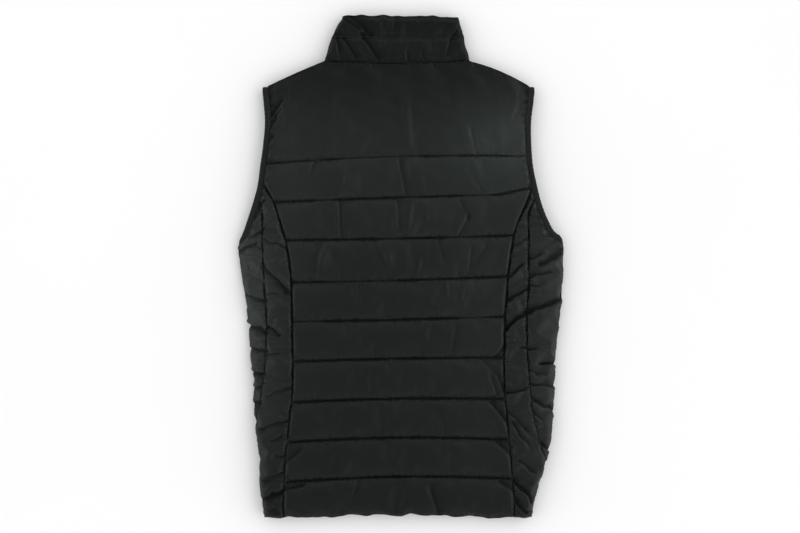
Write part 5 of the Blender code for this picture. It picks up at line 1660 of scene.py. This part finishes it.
def uneven_ends(points):
    """The points, moved a little up or down near the hem and the top of the collar, by a noise of
    the place across that is another one at either end."""
    height = points[..., 1] + LENGTH / 2
    ends = 1.0 - step(0.0, EDGE_WAVE_REACH, np.minimum(height, LENGTH - height))
    which_end = np.sign(height - LENGTH / 2) * 90.0
    moved = points.copy()
    moved[..., 1] += EDGE_WAVE * ends * smooth_noise(151, points[..., 0], which_end, size=26.0)
    return moved


def shape_panels():
    """Shape, creasing and marks of each panel by name."""
    shapes = {"back_centre": shape_back_centre()}
    for side, word in SIDE_NAMES:
        shapes[f"side_back_{word}"] = shape_side_back(side)
        shapes[f"side_{word}"] = shape_side(side)
    shapes["collar"] = shape_collar()
    sheets = []
    for name, (_, outer, _, hold, _) in shapes.items():
        sheets.append(Sheet(outer, hold, SLACK.get(name, SIDE_SLACK)))
    for name, outer in zip(list(shapes), puff(sheets, **PUFFING)):
        flat, _, inner, hold, near = shapes[name]
        shapes[name] = flat, outer, inner, hold, near
    creasing = {"back_centre": crease_back, "collar": crease_collar}
    for side, word in SIDE_NAMES:
        shapes[f"front_{word}"] = shape_front(side)
        creasing[f"side_back_{word}"] = creasing[f"side_{word}"] = partial(crease_side, side)
        creasing[f"front_{word}"] = partial(crease_front, side)
    return {name: (shape, creasing[name]) for name, shape in shapes.items()}


def make_panels():
    """Every padded panel and the collar. Returns the points of their outer sheets, with outward
    directions."""
    skins = {}
    for name, ((flat, outer, inner, _, near), creased) in shape_panels().items():
        near = finer(near)
        depth = creased(*np.moveaxis(finer(flat), -1, 0), near)
        outer = uneven_ends(pressed_in(finer(outer), finer(inner), depth))
        outer[..., 2] = np.maximum(outer[..., 2], 0.0)
        inner = uneven_ends(inner)
        skins[name] = np.concatenate([outer, unit(outer - finer(inner))], axis=-1)
        kind = "padded" if name.startswith("side") else "quilted"
        # painted shade of the creases, seams and tape, which the material reads
        shade_paint = collar_painted_shade if name == "collar" else panel_painted_shade
        painted_shade = np.clip(shade_paint(depth, near, outer), 0.0, 1.0)
        panel = wall(f"{name}_{kind}", outer, inner, flat, SHELL, painted_shade)
        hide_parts(name)
    return skins


def level_line(skin, height):
    """Rows of a skin at one height over the hem, where its columns reach it."""
    up = skin[..., 1] + LENGTH / 2
    columns = [at for at in range(0, skin.shape[1], 2) if up[0, at] < height < up[-1, at]]
    return np.array([[np.interp(height, up[:, at], part) for part in skin[:, at].T] for at in columns])


def make_sewing(skins, tapes):
    """Stitches of the quilting lines, the collar's line and the bindings. Those of the fronts are
    on the underside, where their outward direction points down."""
    lines = [skins["back_centre"][2 * line * CHANNEL_ROWS] for line in range(1, LAST_LINE + 1)]
    lines.append(skins["collar"][2 * COLLAR_CHANNEL_ROWS])
    for side, word in SIDE_NAMES:
        for line in range(1, LAST_LINE + 1):
            found = level_line(skins[f"front_{word}"], line_height(line, 0.5 + 0.5 * side))
            lines.append(found[found[:, 5] < -0.8])
    make_stitches("quilting_stitches", lines)
    make_stitches("binding_stitches", tapes)


# ---------------------------------------------------------------- floor, light and camera
def make_floor():
    """Pale floor, just under the vest."""
    half = FLOOR_SIZE / 2
    corners = [(-half, -half), (half, -half), (half, half), (-half, half)]
    mesh = bpy.data.meshes.new("floor")
    mesh.from_pydata([(x, y, -FLOOR_GAP) for x, y in corners], [], [(0, 1, 2, 3)])
    mesh.materials.append(make_floor_finish())
    floor = bpy.data.objects.new("floor", mesh)
    bpy.context.scene.collection.objects.link(floor)


def make_light():
    """Even light all round that grows with the square of how far a direction leans to the sides
    and the ends, and a little more from the collar's end and from the right."""
    world = bpy.data.worlds.new("studio")
    world.use_nodes = True
    tree = world.node_tree
    across, along, _ = parts_of(tree, place_of(tree, "Generated"))
    light = add_times(tree, times(tree, across, across), SIDE_LIGHT, SKY_LIGHT)
    light = add_times(tree, times(tree, along, along), END_LIGHT, light)
    light = add_times(tree, along, TOP_LIGHT, light)
    light = math_node(tree, "MAXIMUM", add_times(tree, across, RIGHT_LIGHT, light), LEAST_LIGHT)
    background = tree.nodes["Background"]
    tree.links.new(light, background.inputs["Strength"])
    background.inputs["Color"].default_value = (1.0, 1.0, 1.0, 1.0)
    bpy.context.scene.world = world
    bpy.context.scene.view_settings.view_transform = "Standard"


def make_camera():
    """Camera straight above the vest, as far as makes the view its width."""
    camera = bpy.data.cameras.new("camera")
    camera.lens, camera.sensor_width = LENS, SENSOR
    camera.sensor_fit = "HORIZONTAL"
    holder = bpy.data.objects.new("camera", camera)
    holder.location = (CAMERA_ASIDE, 0.0, VIEW_WIDTH * LENS / SENSOR + VIEW_PLANE)
    bpy.context.scene.collection.objects.link(holder)
    bpy.context.scene.camera = holder


skins = make_panels()
tapes = make_bindings()
make_zip()
dress_metal()
make_sewing(skins, tapes)
make_floor()
make_light()
make_camera()
